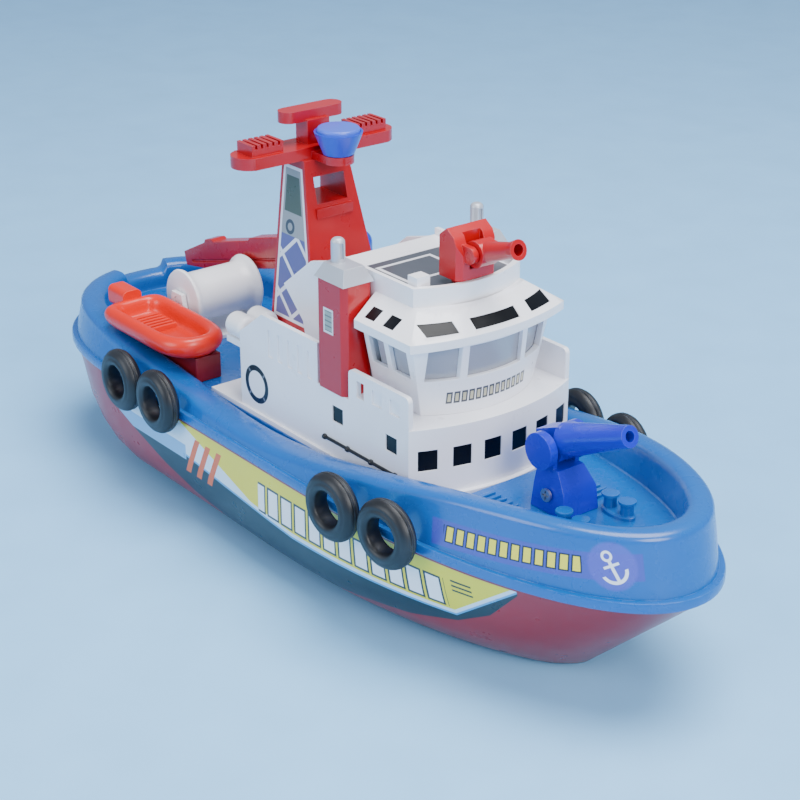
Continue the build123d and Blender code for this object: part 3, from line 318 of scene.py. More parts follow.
def through(points, x):
    """Smooth line through a few points (Catmull-Rom), read at x."""
    xs = [p[0] for p in points]
    i = min(max(sum(1 for v in xs if v <= x) - 1, 0), len(xs) - 2)
    (x1, y1), (x2, y2) = points[i], points[i + 1]
    before = points[max(i - 1, 0)]
    after = points[min(i + 2, len(points) - 1)]
    m1 = (y2 - before[1]) / (x2 - before[0])
    m2 = (after[1] - y1) / (after[0] - x1)
    t = min(max((x - x1) / (x2 - x1), 0), 1)
    d = x2 - x1
    a = (2 * t**3 - 3 * t**2 + 1) * y1 + (t**3 - 2 * t**2 + t) * d * m1
    return a + (-2 * t**3 + 3 * t**2) * y2 + (t**3 - t**2) * d * m2


sheer = [(-160, 50.5), (-105, 50.1), (-60, 46.55), (-22, 43.0), (5, 43.0), (30, 45.9), (58, 50.5),
         (84, 54.4), (108, 56.0), (160, 56.0)]


def rim_height(x, y):
    top = through(sheer, x)
    if x < -100:
        top = min(top, 47.5 + 2.0 * max(abs(y) - 9.0, 0.0))
    return top


def bulwark_point(place, z):
    """Outer face of the bulwark at height z; it leans inwards towards the rim."""
    t = (z - flange_top_z) / (57.0 - flange_top_z)
    tip = flange_tip - 2.2 + (134.0 - flange_tip + 2.2) * t
    tail = -138.0 + 1.0 * t
    return waterline_point(place, tip, tail, 42.1 - 5.3 * t, 2.2 + 0.8 * t)


def deck_section(place):
    """Closed cross-section from the centreline under the deck, round the rim and back above it."""
    fx, fy = waterline_point(place, flange_tip, -flange_tip, flange_beam, 2.2)
    gx, gy = waterline_point(place, flange_tip - 3.4, 3.4 - flange_tip, flange_beam - 3.2, 2.2)
    line = [(gx, 0.0, deck_level - 1.8), (gx, gy * 0.5, deck_level - 1.8), (gx, gy, deck_level - 1.8)]
    line += [(gx, gy, seam_z)]
    for share, z in ((0.75, 0.0), (0.93, 0.12), (1.0, 0.7), (1.0, 2.3), (0.93, 2.88), (0.8, 3.0)):
        line.append((gx + (fx - gx) * share, gy + (fy - gy) * share, seam_z + z))
    foot_x, foot_y = bulwark_point(place, flange_top_z)
    line.append((foot_x, foot_y, flange_top_z))
    edge_x, edge_y = bulwark_point(place, 50.0)
    top = rim_height(edge_x, edge_y)
    roll = min(rim_roll, top - flange_top_z - 0.4)
    shoulder = top - roll
    for k in range(1, 9):
        z = flange_top_z + (shoulder - flange_top_z) * k / 8
        px, py = bulwark_point(place, z)
        line.append((px, py, z))
    wx, wy = waterline_point(place, well_tip, well_tail, well_beam, 2.8)
    cx, cy = (px + wx) / 2, (py + wy) / 2
    for k in range(1, 13):
        turn = math.pi * k / 12
        flat = math.copysign(abs(math.cos(turn)) ** 0.8, math.cos(turn))
        rise = math.sin(turn) ** 0.8
        line.append((cx + (px - cx) * flat, cy + (py - cy) * flat, shoulder + roll * rise))
    floor = foredeck_level if wx > 66.2 else deck_level
    low = max(shoulder - 0.2, floor + 0.4)
    for share in (0.3, 0.65, 1.0):
        line.append((wx, wy, low + (floor + 0.35 - low) * share))
    line.append((wx - math.copysign(0.35, wx) * 0.4, max(wy - 0.35, 0.0), floor))
    for share in (0.66, 0.33, 0.0):
        line.append((wx, wy * share, floor))
    return line


def skin(name, rows, material, closed=False, runs=None, printed=(0, 0), smooth_angle=40):
    """Mesh of quads over rows of points in mm, with a running length along the rows as its map."""
    shape = bmesh.new()
    grid = [[shape.verts.new([c * MM for c in p]) for p in row] for row in rows]
    layer = shape.loops.layers.uv.new("run")
    count = len(rows)
    for i in range(count if closed else count - 1):
        a, b = grid[i], grid[(i + 1) % count]
        for j in range(len(a) - 1):
            face = shape.faces.new((a[j], b[j], b[j + 1], a[j + 1]))
            face.smooth = True
            if runs and printed[0] <= j < printed[1]:
                for loop, at in zip(face.loops, (i, i + 1, i + 1, i)):
                    loop[layer].uv = (runs[at] * MM, loop.vert.co.z)
    bmesh.ops.remove_doubles(shape, verts=shape.verts, dist=4e-6)
    bmesh.ops.dissolve_degenerate(shape, edges=shape.edges, dist=2e-6)
    bmesh.ops.recalc_face_normals(shape, faces=shape.faces)
    mesh = bpy.data.meshes.new(name)
    shape.to_mesh(mesh)
    shape.free()
    mesh.set_sharp_from_angle(angle=math.radians(smooth_angle))
    return to_object(name, mesh, material)


sea_blue = srgb(0, 92, 172)
deck_finish = Finish("blue_deck_moulding", sea_blue, 0.27)
d = deck_finish
mapped = d.node("ShaderNodeUVMap")
mapped.uv_map = "run"
parts = d.node("ShaderNodeSeparateXYZ")
d.tree.links.new(mapped.outputs[0], parts.inputs[0])
run = d.calc("ABSOLUTE", parts.outputs[0])
outside = d.both(d.above(run, 0.5 * MM), d.above(d.z, flange_top_z * MM + 0.4 * MM))
lift = d.calc("SUBTRACT", d.z, d.calc("MULTIPLY", d.calc("SUBTRACT", d.x, 60 * MM), 0.073))
soft_edge = 0.4 * MM
label = d.both(outside, d.between(run, 14 * MM, 76 * MM, soft_edge),
               d.between(lift, 38.9 * MM, 46.2 * MM, soft_edge))
d.paint(d.calc("MULTIPLY", label, 0.8), srgb(76, 70, 176))
bold = d.both(outside, d.between(run, 30 * MM, 72 * MM), d.between(lift, 40.3 * MM, 45.1 * MM))
shifted = d.calc("ADD", run, d.calc("MULTIPLY", lift, 0.12))
d.paint(d.both(bold, d.bars(shifted, 3.5 * MM, 0.84)), srgb(24, 24, 44))
bold = d.both(outside, d.between(run, 30.4 * MM, 71.6 * MM), d.between(lift, 40.7 * MM, 44.7 * MM))
d.paint(d.both(bold, d.bars(d.calc("SUBTRACT", shifted, 0.4 * MM), 3.5 * MM, 0.6)), srgb(244, 228, 60))
badge = d.reach(run, d.z, 22 * MM, 47.6 * MM)
d.paint(d.calc("MULTIPLY", d.both(outside, d.below(badge, 6.4 * MM, 0.8 * MM)), 0.8), srgb(88, 86, 190))
# The anchor leans over: its parts are laid out along a tilted pair of axes.
tilt_cos, tilt_sin = math.cos(math.radians(-24)), math.sin(math.radians(-24))
du = d.calc("SUBTRACT", run, 22 * MM)
dv = d.calc("SUBTRACT", d.z, 47.2 * MM)
au = d.calc("ADD", d.calc("MULTIPLY", du, tilt_cos), d.calc("MULTIPLY", dv, tilt_sin))
av = d.calc("SUBTRACT", d.calc("MULTIPLY", dv, tilt_cos), d.calc("MULTIPLY", du, tilt_sin))
ring = d.reach(au, av, 0.0, 3.3 * MM)
anchor = d.between(ring, 0.8 * MM, 1.5 * MM)
stock = d.both(d.between(au, -0.45 * MM, 0.45 * MM), d.between(av, -3.6 * MM, 2.4 * MM))
cross = d.both(d.between(au, -2.2 * MM, 2.2 * MM), d.between(av, 0.3 * MM, 1.0 * MM))
bend = d.reach(au, av, 0.0, -0.6 * MM)
arms = d.both(d.between(bend, 2.9 * MM, 3.8 * MM), d.below(av, -1.4 * MM))
d.paint(d.both(outside, d.either(anchor, stock, cross, arms)), srgb(240, 242, 248))
blue_deck = deck_finish.done(worn=srgb(150, 195, 240), wear=0.3, coat=0.3)

stations = quarter_points()
port_rows = [deck_section(place) for place in stations]
lengths = [0.0]
for a, b in zip(port_rows[:-1], port_rows[1:]):
    lengths.append(lengths[-1] + math.dist(a[12], b[12]))
runs = [value - lengths[-1] for value in lengths]
starboard_rows = [[(x, -y, z) for x, y, z in row] for row in reversed(port_rows)]
both_runs = runs + [-v for v in reversed(runs)][1:]
deck = skin("blue_deck", port_rows + starboard_rows[1:], blue_deck, runs=both_runs, printed=(9, 20))
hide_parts("upper_hull")
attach(deck, "root")

# Foredeck ribs: two rows of thin raised bars moulded into the foredeck, for the
# anchor chain.  Every bar is the same, so one small tree lays out each row.


def wire(group, out_node, out_name, in_node, in_name):
    group.links.new(out_node.outputs[out_name], in_node.inputs[in_name])


def bar_row_tree(name, material):
    """Tree that lays equal bars along a line: start, step, count and the bar's size."""
    group = bpy.data.node_groups.new(name, "GeometryNodeTree")
    face = group.interface
    face.new_socket("Geometry", in_out="OUTPUT", socket_type="NodeSocketGeometry")
    face.new_socket("Geometry", in_out="INPUT", socket_type="NodeSocketGeometry")
    for label_name, kind in (("Bar size", "NodeSocketVector"), ("Start", "NodeSocketVector"),
                             ("Step", "NodeSocketVector"), ("Count", "NodeSocketInt")):
        face.new_socket(label_name, in_out="INPUT", socket_type=kind)
    make = group.nodes.new
    enter = make("NodeGroupInput")
    leave = make("NodeGroupOutput")
    line = make("GeometryNodeMeshLine")
    line.mode = "OFFSET"
    cube = make("GeometryNodeMeshCube")
    place = make("GeometryNodeInstanceOnPoints")
    real = make("GeometryNodeRealizeInstances")
    finish = make("GeometryNodeSetMaterial")
    finish.inputs["Material"].default_value = material
    wire(group, enter, "Count", line, "Count")
    wire(group, enter, "Start", line, "Start Location")
    wire(group, enter, "Step", line, "Offset")
    wire(group, enter, "Bar size", cube, "Size")
    wire(group, line, "Mesh", place, "Points")
    wire(group, cube, "Mesh", place, "Instance")
    wire(group, place, "Instances", real, "Geometry")
    wire(group, real, "Geometry", finish, "Geometry")
    wire(group, finish, "Geometry", leave, "Geometry")
    return group


def bar_row(name, group, material, size, start, step, count, edge=0.2):
    """One row of bars, as a plain mesh with rounded edges; sizes in mm."""
    piece = to_object(name, bpy.data.meshes.new(name), material)
    row = piece.modifiers.new("bars", "NODES")
    row.node_group = group
    values = {"Bar size": size, "Start": start, "Step": step}
    for item in group.interface.items_tree:
        if item.in_out == "INPUT" and item.name in values:
            row[item.identifier] = [v * MM for v in values[item.name]]
        elif item.in_out == "INPUT" and item.name == "Count":
            row[item.identifier] = count
    bevel = piece.modifiers.new("edges", "BEVEL")
    bevel.width = edge * MM
    bevel.segments = 2
    settled(piece)
    return piece


blue_bars = bar_row_tree("blue_bar_row", blue_deck)
for side, name in ((1, "port"), (-1, "starboard")):
    row = bar_row(f"foredeck_ribs_{name}", blue_bars, blue_deck, (1.2, 6.0, 1.3),
                  (70.6, side * 13.0, foredeck_level + 0.3), (2.4, 0, 0), 9)
    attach(row, "root")

# Mooring bitts: four short posts with mushroom heads on two oval pads, moulded
# in one with the foredeck.


def lathe(profile, centre, axis, steps=48):
    """Rows of a body of revolution: profile of (radius, height) in mm, axis X, Y or Z."""
    rows = []
    for k in range(steps):
        turn = 2 * math.pi * k / steps
        row = []
        for radius, height in profile:
            a, b = radius * math.cos(turn), radius * math.sin(turn)
            offset = {"X": (height, a, b), "Y": (b, height, a), "Z": (a, b, height)}[axis]
            row.append(tuple(c + o for c, o in zip(centre, offset)))
        rows.append(row)
    return rows


bitt_profile = [(0, 0), (1.9, 0), (1.8, 3.6), (1.9, 4.2), (2.4, 4.5), (2.5, 4.9), (2.4, 5.3),
                (1.6, 5.5), (0, 5.5)]
for side, name in ((1, "port"), (-1, "starboard")):
    for k, x in enumerate((97.0, 103.5)):
        post = skin(f"bitt_{name}_{k + 1}", lathe(bitt_profile, (x, side * 8.5, foredeck_level - 0.1), "Z"),
                    blue_deck, closed=True)
        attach(post, "root")
    pad_profile = [(0, 0), (3.0, 0), (3.0, 1.0), (2.6, 1.4), (0, 1.4)]
    rows = lathe(pad_profile, (100.25, side * 8.5, foredeck_level - 0.1), "Z")
    rows = [[(100.25 + (x - 100.25) * 1.95, y, z) for x, y, z in row] for row in rows]
    pad = skin(f"bitt_pad_{name}", rows, blue_deck, closed=True)
    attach(pad, "root")

# ---------------------------------------------------------------------------
# White deckhouse: glossy white ABS, clipped down on the blue deck, with a
# printed lifebuoy on each wall and a thin black grab rail below the windows.

shell_white = srgb(244, 244, 250)
house_finish = Finish("white_deckhouse", shell_white, 0.3)
w = house_finish
wall_side = w.above(w.calc("ABSOLUTE", w.y), 29.3 * MM)
buoy_x, buoy_z = -16.5 * MM, 51.9 * MM
buoy = w.reach(w.x, w.z, buoy_x, buoy_z)
w.paint(w.both(wall_side, w.between(buoy, 4.3 * MM, 6.1 * MM)), srgb(28, 30, 36))
from_buoy_x = w.calc("SUBTRACT", w.x, buoy_x)
from_buoy_z = w.calc("SUBTRACT", w.z, buoy_z)
slope_up = w.calc("ABSOLUTE", w.calc("ADD", from_buoy_x, from_buoy_z))
slope_down = w.calc("ABSOLUTE", w.calc("SUBTRACT", from_buoy_x, from_buoy_z))
tie = w.either(w.below(slope_up, 0.5 * MM), w.below(slope_down, 0.5 * MM))
w.paint(w.both(wall_side, w.between(buoy, 4.6 * MM, 5.8 * MM), tie), srgb(120, 122, 130))
white_house = house_finish.done(worn=srgb(205, 205, 214), wear=0.35, coat=0.25)

house = softened("deckhouse", "deckhouse_shell", white_house, edge=0.5)
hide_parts("deckhouse")
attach(house, "root")

rail_finish = Finish("black_rail", srgb(22, 23, 28), 0.35).done(worn=srgb(90, 92, 98), grain=1.5)
wall_y = 29.5
for side, name in ((1, "port"), (-1, "starboard")):
    rows = lathe([(0, 0), (0.5, 0), (0.5, 34), (0, 34)], (18.0, side * (wall_y + 0.35), 47.6), "X", 12)
    rail = skin(f"grab_rail_{name}", rows, rail_finish, closed=True)
    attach(rail, "root")
    for k in range(4):
        stop = lathe([(0, -0.7), (0.6, -0.7), (0.85, -0.4), (0.85, 0.4), (0.6, 0.7), (0, 0.7)],
                     (18.6 + 10.95 * k, side * (wall_y + 0.35), 47.6), "X", 16)
        clip = skin(f"grab_rail_clip_{name}_{k + 1}", stop, rail_finish, closed=True)
        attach(clip, "root")

# House and brow windows: small panes of dark smoked plastic pressed into the
# white moulding, glossier than the shell round them.

pane_finish = Finish("dark_window", srgb(6, 7, 12), 0.3)
pane_finish.shader.inputs["Specular IOR Level"].default_value = 0.25
dark_pane = pane_finish.done(worn=srgb(50, 56, 70), wear=0.2, grain=0.3)
for node in ("deckhouse_windows", "brow_windows"):
    dress(frame["nodes"][node], dark_pane)

# ---------------------------------------------------------------------------
# Wheelhouse: white walls with open window bays, smoked grey glazing behind
# them and a plain printed strip with bars under the front windows.

cabin_finish = Finish("white_wheelhouse", shell_white, 0.3)
c = cabin_finish
front = c.above(c.x, 51 * MM)
bars_area = c.both(front, c.between(c.y, -15.0 * MM, 12.6 * MM), c.between(c.z, 66.5 * MM, 70.1 * MM))
c.paint(c.both(bars_area, c.bars(c.y, 2.15 * MM, 0.8)), srgb(66, 68, 78))
inner = c.both(front, c.between(c.y, -14.6 * MM, 12.2 * MM), c.between(c.z, 67.1 * MM, 69.5 * MM))
c.paint(c.both(inner, c.bars(c.calc("SUBTRACT", c.y, 0.4 * MM), 2.15 * MM, 0.42)), srgb(196, 190, 160))
white_cabin = cabin_finish.done(worn=srgb(205, 205, 214), wear=0.35, coat=0.25)
cabin = softened("wheelhouse", "wheelhouse_shell", white_cabin, edge=0.35)
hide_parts("wheelhouse")
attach(cabin, "root")

glazing = Finish("smoked_glazing", srgb(176, 178, 188), 0.22)
glazing.shader.inputs["Transmission Weight"].default_value = 0.25
dress(frame["nodes"]["wheelhouse_glazing"], glazing.done(worn=srgb(220, 220, 226), grain=0.5, coat=0.4))

# Wheelhouse roof: white moulding with visor, sloping brow and a low coaming,
# and a dark printed panel with a plain pale frame on its flat top.

roof_finish = Finish("white_roof", shell_white, 0.3)
r = roof_finish
flat_top = r.between(r.z, 96.2 * MM, 97.0 * MM)
pad_area = r.both(flat_top, r.between(r.x, 19 * MM, 47 * MM), r.between(r.y, -17.2 * MM, 17.2 * MM))
r.paint(pad_area, srgb(74, 76, 84))
frame_out = r.both(flat_top, r.between(r.x, 22 * MM, 37 * MM), r.between(r.y, -14 * MM, 6 * MM))
frame_in = r.both(r.between(r.x, 23.2 * MM, 35.8 * MM), r.between(r.y, -12.8 * MM, 4.8 * MM))
r.paint(r.both(frame_out, r.away(frame_in)), srgb(228, 228, 234))
white_roof = roof_finish.done(worn=srgb(205, 205, 214), wear=0.35, coat=0.25)
roof = softened("wheelhouse_roof", "wheelhouse_roof_shell", white_roof, edge=0.5)
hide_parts("wheelhouse_roof")
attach(roof, "root")

# ---------------------------------------------------------------------------
# Mast: hollow red moulding pegged into the bridge deck, with a lattice sticker
# on each side and a ribbed searchlight block on either yard arm.

signal_red = srgb(172, 0, 14)
mast_finish = Finish("red_mast", signal_red, 0.3)
m = mast_finish
tilt = m.calc("MULTIPLY_ADD", m.z, -12.5 / 53.5, (-31 + 23.5 + 63 * 12.5 / 53.5) * MM)
lean = m.calc("MULTIPLY_ADD", m.z, -6.0 / 53.5, (14 + 63 * 6.0 / 53.5) * MM)
side_face = m.above(m.calc("SUBTRACT", m.calc("ABSOLUTE", m.y), lean), -0.45 * MM)
aft_gap = m.calc("SUBTRACT", m.x, -31 * MM)
fore_gap = m.calc("SUBTRACT", tilt, m.x)
edge_gap = m.calc("MINIMUM", aft_gap, fore_gap)
height_ok = m.between(m.z, 67 * MM, 114 * MM)
m.paint(m.both(side_face, height_ok, m.above(edge_gap, 1.2 * MM)), srgb(232, 230, 238))
field = m.both(side_face, m.between(m.z, 68 * MM, 113 * MM), m.above(edge_gap, 2.2 * MM))
m.paint(field, srgb(92, 88, 146))
leg_1 = m.calc("PINGPONG", m.calc("ADD", m.z, m.calc("MULTIPLY", m.x, 0.9)), 6.2 * MM)
leg_2 = m.calc("PINGPONG", m.calc("SUBTRACT", m.z, m.calc("MULTIPLY", m.x, 0.9)), 6.2 * MM)
lattice = m.either(m.below(leg_1, 0.85 * MM), m.below(leg_2, 0.85 * MM))
m.paint(m.both(field, lattice, m.below(m.z, 93 * MM)), srgb(228, 228, 238))
upper_field = m.both(field, m.above(m.z, 93 * MM))
m.paint(upper_field, srgb(148, 150, 152))
lamp_panel = m.both(upper_field, m.between(m.z, 100 * MM, 111 * MM), m.above(edge_gap, 3.0 * MM))
m.paint(lamp_panel, srgb(74, 82, 66))
knot = m.reach(m.x, m.z, -24.6 * MM, 95.6 * MM)
m.paint(m.both(field, m.between(knot, 1.2 * MM, 2.3 * MM)), srgb(60, 62, 70))
red_mast = mast_finish.done(worn=srgb(232, 120, 130), wear=0.3, coat=0.25)
mast = softened("mast", "mast_tower", red_mast, edge=0.45)
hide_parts("mast")
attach(mast, "root")

# Funnels: red boxes with cut corners and one small printed hatch each, closed
# by silver-sprayed caps with a stub exhaust pipe.

funnel_finish = Finish("red_funnel", signal_red, 0.3)
f = funnel_finish
outer_side = f.above(f.calc("ABSOLUTE", f.y), 29.4 * MM)
hatch = f.both(outer_side, f.between(f.x, 19.2 * MM, 23.8 * MM), f.between(f.z, 80.5 * MM, 88.0 * MM))
f.paint(hatch, srgb(222, 220, 224))
hatch_in = f.both(outer_side, f.between(f.x, 19.8 * MM, 23.2 * MM), f.between(f.z, 81.2 * MM, 87.3 * MM))
f.paint(hatch_in, srgb(150, 158, 150))
f.paint(f.both(hatch_in, f.bars(f.z, 1.5 * MM, 0.3)), srgb(96, 104, 100))
red_funnel = funnel_finish.done(worn=srgb(232, 120, 130), wear=0.3, coat=0.25)
silver_finish = Finish("silver_cap", srgb(188, 192, 202), 0.38)
silver = silver_finish.done(worn=srgb(226, 228, 232), wear=0.5, grain=2.5, metal=0.35)
for side in ("starboard", "port"):
    casing = softened(f"funnel_{side}", f"funnel_casing_{side}", red_funnel, edge=0.4)
    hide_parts(f"funnel_{side}")
    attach(casing, "root")
    cap = softened(f"exhaust_cap_{side}", f"funnel_cap_{side}", silver, edge=0.45)
    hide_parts(f"exhaust_cap_{side}")
    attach(cap, "root")

# Life raft canisters: two short white drums on a shelf behind the deckhouse.

drum_finish = Finish("white_fittings", srgb(238, 238, 242), 0.32)
white_fittings = drum_finish.done(worn=srgb(205, 205, 214), wear=0.3, coat=0.2)
drums = softened("life_raft_canisters", "life_rafts", white_fittings, edge=0.3)
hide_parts("life_raft_canisters")
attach(drums, "root")

# ---------------------------------------------------------------------------
# Rescue boat: soft-looking orange moulding with a thick tube round an open
# cockpit, ribbed seat and a clamp-on engine; it lifts off a dark red cradle.

cradle_finish = Finish("dark_red_cradle", srgb(122, 16, 26), 0.36)
cradle = softened("boat_cradle", "rescue_cradle", cradle_finish.done(worn=srgb(180, 80, 80)), edge=0.5)
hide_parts("boat_cradle")
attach(cradle, "root")

boat_low, boat_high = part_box("rescue_boat")
boat_x0, boat_x1 = boat_low.x / MM, boat_high.x / MM
boat_y = (boat_low.y + boat_high.y) / 2 / MM
boat_half = (boat_high.y - boat_low.y) / 2 / MM
boat_z = boat_low.z / MM


def boat_outline(inset):
    """Plan of the rescue boat drawn in by an inset: square stern, blunt bow."""
    a, b, half = boat_x0 + inset, boat_x1 - inset, boat_half - inset
    corners = [(a, 0), (a, -half * 0.55), (a + 0.2, -half + 2.2), (a + 2.2, -half),
               (a + 9, -half), (a + 19, -half),
               (b - 17, -half), (b - 10, -half + 0.1), (b - 4.6, -half * 0.83), (b - 1.2, -half * 0.5),
               (b, 0)]
    return corners + [(x, -y) for x, y in reversed(corners[1:-1])]


tube = [(4.2, 0.0), (2.6, 0.3), (0.9, 1.6), (0.05, 3.4), (0.1, 5.2), (1.0, 6.7), (2.3, 7.4), (3.6, 7.0),
        (4.4, 5.6),
        (4.6, 3.8), (5.0, 2.4), (6.2, 1.9)]
rows = []
outlines = [boat_outline(inset) for inset, _ in tube]
count = len(outlines[0])
for k in range(count):
    keel_x = min(max(outlines[0][k][0], boat_x0 + boat_half), boat_x1 - boat_half)
    row = [(keel_x, boat_y, boat_z)]
    for (inset, height), outline in zip(tube, outlines):
        x, y = outline[k]
        sweep_up = 0.9 * max((x - boat_x1 + 12) / 12, 0) ** 2
        row.append((x, boat_y + y, boat_z + min(height + sweep_up * height / 7.5, 7.5)))
    row.append((keel_x, boat_y, boat_z + 1.9))
    rows.append(row)
orange_finish = Finish("orange_rescue_boat", srgb(222, 30, 2), 0.34)
o = orange_finish
# Painted shade: everything lower than 2.6 mm above the boat's bottom, the cockpit floor and the outer
# bottom alike, is tinted a little darker orange.
cockpit_shade = o.below(o.z, (boat_z + 2.6) * MM, 0.8 * MM)
o.paint(o.calc("MULTIPLY", cockpit_shade, 0.4), srgb(212, 30, 4))
orange = orange_finish.done(worn=srgb(250, 140, 110), wear=0.3, coat=0.15)
boat = skin("rescue_boat_tube", rows, orange, closed=True, smooth_angle=180)
rounder = boat.modifiers.new("round", "SUBSURF")
rounder.levels = rounder.render_levels = 2
settled(boat)
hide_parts("rescue_boat")
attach(boat, "rescue")

orange_bars = bar_row_tree("orange_bar_row", orange)
seat = bar_row("rescue_seat_ribs", orange_bars, orange, (1.1, boat_half * 2 - 12.5, 1.9),
               (boat_x0 + 9.5, boat_y, boat_z + 2.7), (2.2, 0, 0), 6, edge=0.3)
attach(seat, "rescue")

engine = softened("outboard_motor", "rescue_engine", orange, edge=0.5)
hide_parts("outboard_motor")
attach(engine, "rescue")

# ---------------------------------------------------------------------------
# Towing winch: white cheeks on a foot plate, and a white drum that is turned by
# hand, with thick rounded flanges.

winch_low, winch_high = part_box("winch_drum")
drum_x = (winch_low.x + winch_high.x) / 2 / MM
drum_z = (winch_low.z + winch_high.z) / 2 / MM
drum_y = (winch_low.y + winch_high.y) / 2 / MM
flange_r = (winch_high.z - winch_low.z) / 2 / MM
half = 13.0
profile = [(0, -half - 1.9), (1.3, -half - 1.9), (1.5, -half - 1.6), (1.5, -half), (flange_r - 1.0, -half),
           (flange_r - 0.3, -half + 0.25), (flange_r, -half + 0.9), (flange_r - 0.25, -half + 1.6),
           (flange_r - 0.9, -half + 2.1), (8.9, -half + 2.6), (8.4, -half + 3.4), (8.35, -half + 6)]
profile += [(radius, -y) for radius, y in reversed(profile)]
drum = skin("winch_barrel", lathe(profile, (drum_x, drum_y, drum_z), "Y", 72), white_fittings, closed=True)
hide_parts("winch_drum")
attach(drum, "winch")

gear_finish = Finish("blue_gear", srgb(14, 58, 190), 0.3)
blue_gear = gear_finish.done(worn=srgb(120, 150, 230), wear=0.35, coat=0.25)

# Deck crane: blue column and turret, red box boom with a slot along each side,
# hinged on a moulded pin.  The winch cheeks are moulded in white.

for node, name, body, material, slot in (
        ("winch_frame", "winch_cheeks", "root", white_fittings, "house_white"),
        ("crane_column", "crane_post", "root", blue_gear, "gear_blue"),
        ("crane_turret", "crane_head", "crane_slew", blue_gear, "gear_blue")):
    piece = softened(node, name, material, edge=0.35)
    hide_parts(node)
    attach(piece, body)

boom_finish = Finish("red_boom", signal_red, 0.28)
red_boom = boom_finish.done(worn=srgb(232, 120, 130), wear=0.3, coat=0.3)
boom = softened("crane_boom", "crane_boom_box", red_boom, edge=0.45)
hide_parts("crane_boom")
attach(boom, "crane_luff")

# Radar: blue bowl with a paler lid that turns on a pin of the mast bracket.

bowl = softened("radar_dish", "radar_bowl", blue_gear, edge=0.35)
lid_finish = Finish("light_blue_lid", srgb(66, 98, 214), 0.32)
lid = softened("radar_lid", "radar_cover", lid_finish.done(worn=srgb(140, 160, 235), coat=0.2), edge=0.3)
for piece, node in ((bowl, "radar_dish"), (lid, "radar_lid")):
    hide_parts(node)
    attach(piece, "radar")

# ---------------------------------------------------------------------------
# Water cannon on the foredeck: royal blue pedestal that swivels, a tilting head
# with side drums, and a cross-head screw that holds the pedestal together.

royal = Finish("royal_blue_cannon", srgb(10, 28, 186), 0.27)
royal_blue = royal.done(worn=srgb(110, 125, 225), wear=0.35, coat=0.3)
for node, name, body in (("cannon_pedestal", "cannon_stand", "cannon_turn"),
                         ("cannon_head", "cannon_barrel", "cannon_tilt")):
    piece = softened(node, name, royal_blue, edge=0.6)
    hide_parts(node)
    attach(piece, body)

steel_finish = Finish("zinc_steel", srgb(176, 178, 184), 0.3)
steel = steel_finish.done(worn=srgb(225, 225, 230), wear=0.6, grain=3.0, metal=0.95)

# Roof monitor: red swivelling body with a tilting nozzle.

monitor_finish = Finish("red_monitor", srgb(182, 2, 16), 0.3)
red_monitor = monitor_finish.done(worn=srgb(236, 130, 140), wear=0.35, coat=0.25)
for node, name, body in (("monitor_base", "monitor_body", "monitor_turn"),
                         ("monitor_nozzle", "monitor_pipe", "monitor_tilt")):
    piece = softened(node, name, red_monitor, edge=0.9)
    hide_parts(node)
    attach(piece, body)

# ---------------------------------------------------------------------------
# Tyre fenders: soft black vinyl rings with a bead, a raised sidewall ring and
# two shallow tread grooves, each hung flat on the rub flange.

rubber = Finish("black_vinyl", srgb(22, 24, 29), 0.42)
scuffed = rubber.calc("MULTIPLY_ADD", rubber.mottle(90, 5.0), 2.6, -1.15, clamp=True)
rubber.paint(rubber.calc("MULTIPLY", scuffed, 0.25), srgb(78, 82, 90))
black_vinyl = rubber.done(worn=srgb(120, 124, 132), wear=0.4, grain=3.0)
tyre_section = [(5.5, 5.6), (5.2, 4.9), (5.2, 1.1), (5.5, 0.4), (6.2, 0.0), (7.2, 0.0), (7.5, 0.25),
                (8.1, 0.25),
                (8.6, 0.4), (9.4, 1.0), (9.9, 1.8), (10.05, 2.2), (9.85, 2.35), (9.85, 2.6), (10.1, 2.75),
                (10.1, 3.25), (9.85, 3.4), (9.85, 3.65), (10.05, 3.8), (9.9, 4.2), (9.4, 5.0), (8.6, 5.6),
                (8.1, 5.75), (7.5, 5.75), (7.2, 6.0), (6.2, 6.0), (5.5, 5.6)]
for side, sign in (("starboard", -1), ("port", 1)):
    for k in range(4):
        node = f"tyre_fender_{side}_{k + 1}"
        points = np.array([v.co for v in frame["nodes"][node].data.vertices])
        middle = (points.min(0) + points.max(0)) / 2
        spread = np.cov((points - middle).T)
        across = np.linalg.eigh(spread)[1][:, 0]
        across = across * math.copysign(1, across[1] * sign)
        turn = Vector((0, 1, 0)).rotation_difference(Vector(across))
        rows = []
        for row in lathe([(radius, height - 3.0) for radius, height in tyre_section], (0, 0, 0), "Y", 64):
            rows.append([tuple(turn @ Vector(p) + Vector(middle) / MM) for p in row])
        tyre = skin(f"tyre_{side}_{k + 1}", rows, black_vinyl, closed=True, smooth_angle=55)
        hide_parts(node)
        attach(tyre, "root")

# ---------------------------------------------------------------------------
# Running gear and works inside the hull: red propeller and rudder, steel shaft
# and screws, brass tube, black mouldings, wrapped cells and a clear hose.

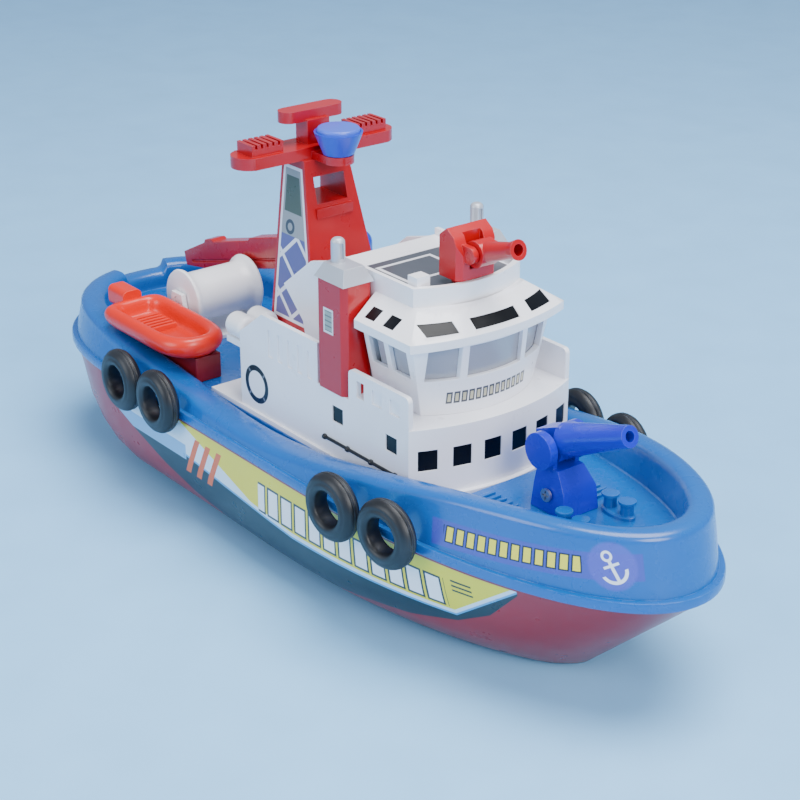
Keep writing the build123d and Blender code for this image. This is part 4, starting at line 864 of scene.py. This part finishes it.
red_gear = Finish("red_running_gear", srgb(170, 24, 44), 0.34).done(worn=srgb(220, 110, 120), coat=0.15)
black_works = Finish("black_works", srgb(30, 31, 34), 0.42).done(worn=srgb(96, 98, 104), grain=2.0)
brass_finish = Finish("brass", srgb(196, 158, 84), 0.28)
brass = brass_finish.done(worn=srgb(236, 210, 150), wear=0.5, grain=2.0, metal=0.95)
cell_finish = Finish("cell_wrap", srgb(40, 96, 70), 0.3)
cap_end = cell_finish.above(cell_finish.x, -8 * MM)
cell_finish.paint(cap_end, srgb(204, 150, 60))
cell_wrap = cell_finish.done(worn=srgb(190, 190, 190), coat=0.3)
hose_finish = Finish("clear_hose", srgb(214, 218, 214), 0.25)
hose_finish.shader.inputs["Transmission Weight"].default_value = 0.4
hose = hose_finish.done(worn=srgb(235, 235, 235))
finish_of = {"gear_red": red_gear, "hull_red": red_hull, "hull_blue": blue_gear,
             "house_white": white_fittings,
             "gear_blue": blue_gear, "steel": steel, "brass": brass, "inner_black": black_works,
             "cell": cell_wrap, "hose": hose, "cap_silver": silver, "tyre_black": black_vinyl}
slot_of = {}
for entry in frame["record"]["subparts"]:
    slot_of[entry["node"]] = entry["material_slot"]
for node, thing in frame["nodes"].items():
    if not thing.hide_render and node not in ("deckhouse_windows", "brow_windows", "wheelhouse_glazing"):
        dress(thing, finish_of[slot_of[node]])

# ---------------------------------------------------------------------------
# Studio: pale seamless floor, one broad soft light overhead and to the bow,
# a weaker one from the side, and the camera a little above the starboard bow.

floor_finish = Finish("pale_floor", srgb(140, 204, 255), 0.6)
cloud = floor_finish.mottle(3.0, 2.0)
floor_finish.paint(floor_finish.calc("MULTIPLY", cloud, 0.25), srgb(160, 218, 255))
floor_material = floor_finish.done(wear=0.0, grain=0.3)
floor_mesh = bpy.data.meshes.new("floor")
reach_out = 3.0
floor_mesh.from_pydata([(-reach_out, -reach_out, 0), (reach_out, -reach_out, 0), (reach_out, reach_out, 0),
                        (-reach_out, reach_out, 0)], [], [(0, 1, 2, 3)])
floor = to_object("floor", floor_mesh, floor_material)

world = bpy.data.worlds.new("studio_air")
world.use_nodes = True
air = world.node_tree.nodes["Background"]
air.inputs["Color"].default_value = srgb(206, 226, 250)
air.inputs["Strength"].default_value = 0.55
bpy.context.scene.world = world


def soft_light(name, place, size, power, colour=(1, 1, 1)):
    lamp = bpy.data.lights.new(name, "AREA")
    lamp.shape = "DISK"
    lamp.size = size
    lamp.energy = power
    lamp.color = colour
    holder = bpy.data.objects.new(name, lamp)
    holder.location = place
    holder.rotation_euler = (Vector((0, 0, 0.05)) - Vector(place)).to_track_quat("-Z", "Y").to_euler()
    bpy.context.scene.collection.objects.link(holder)


soft_light("overhead", (0.15, 0.1, 0.95), 0.75, 14.0)
soft_light("bow_fill", (0.95, -0.15, 0.55), 0.6, 9.0, (1.0, 0.98, 0.95))
soft_light("side_fill", (-0.2, -1.0, 0.5), 0.7, 6.0, (0.93, 0.97, 1.0))

lens = bpy.data.cameras.new("camera")
lens.lens = 85.66
lens.sensor_width = 36
camera = bpy.data.objects.new("camera", lens)
camera.location = (0.42356, -0.32025, 0.27984)
target = Vector((0.015686, 0.0, 0.049879))
camera.rotation_euler = (target - camera.location).to_track_quat("-Z", "Y").to_euler()
bpy.context.scene.collection.objects.link(camera)
bpy.context.scene.camera = camera
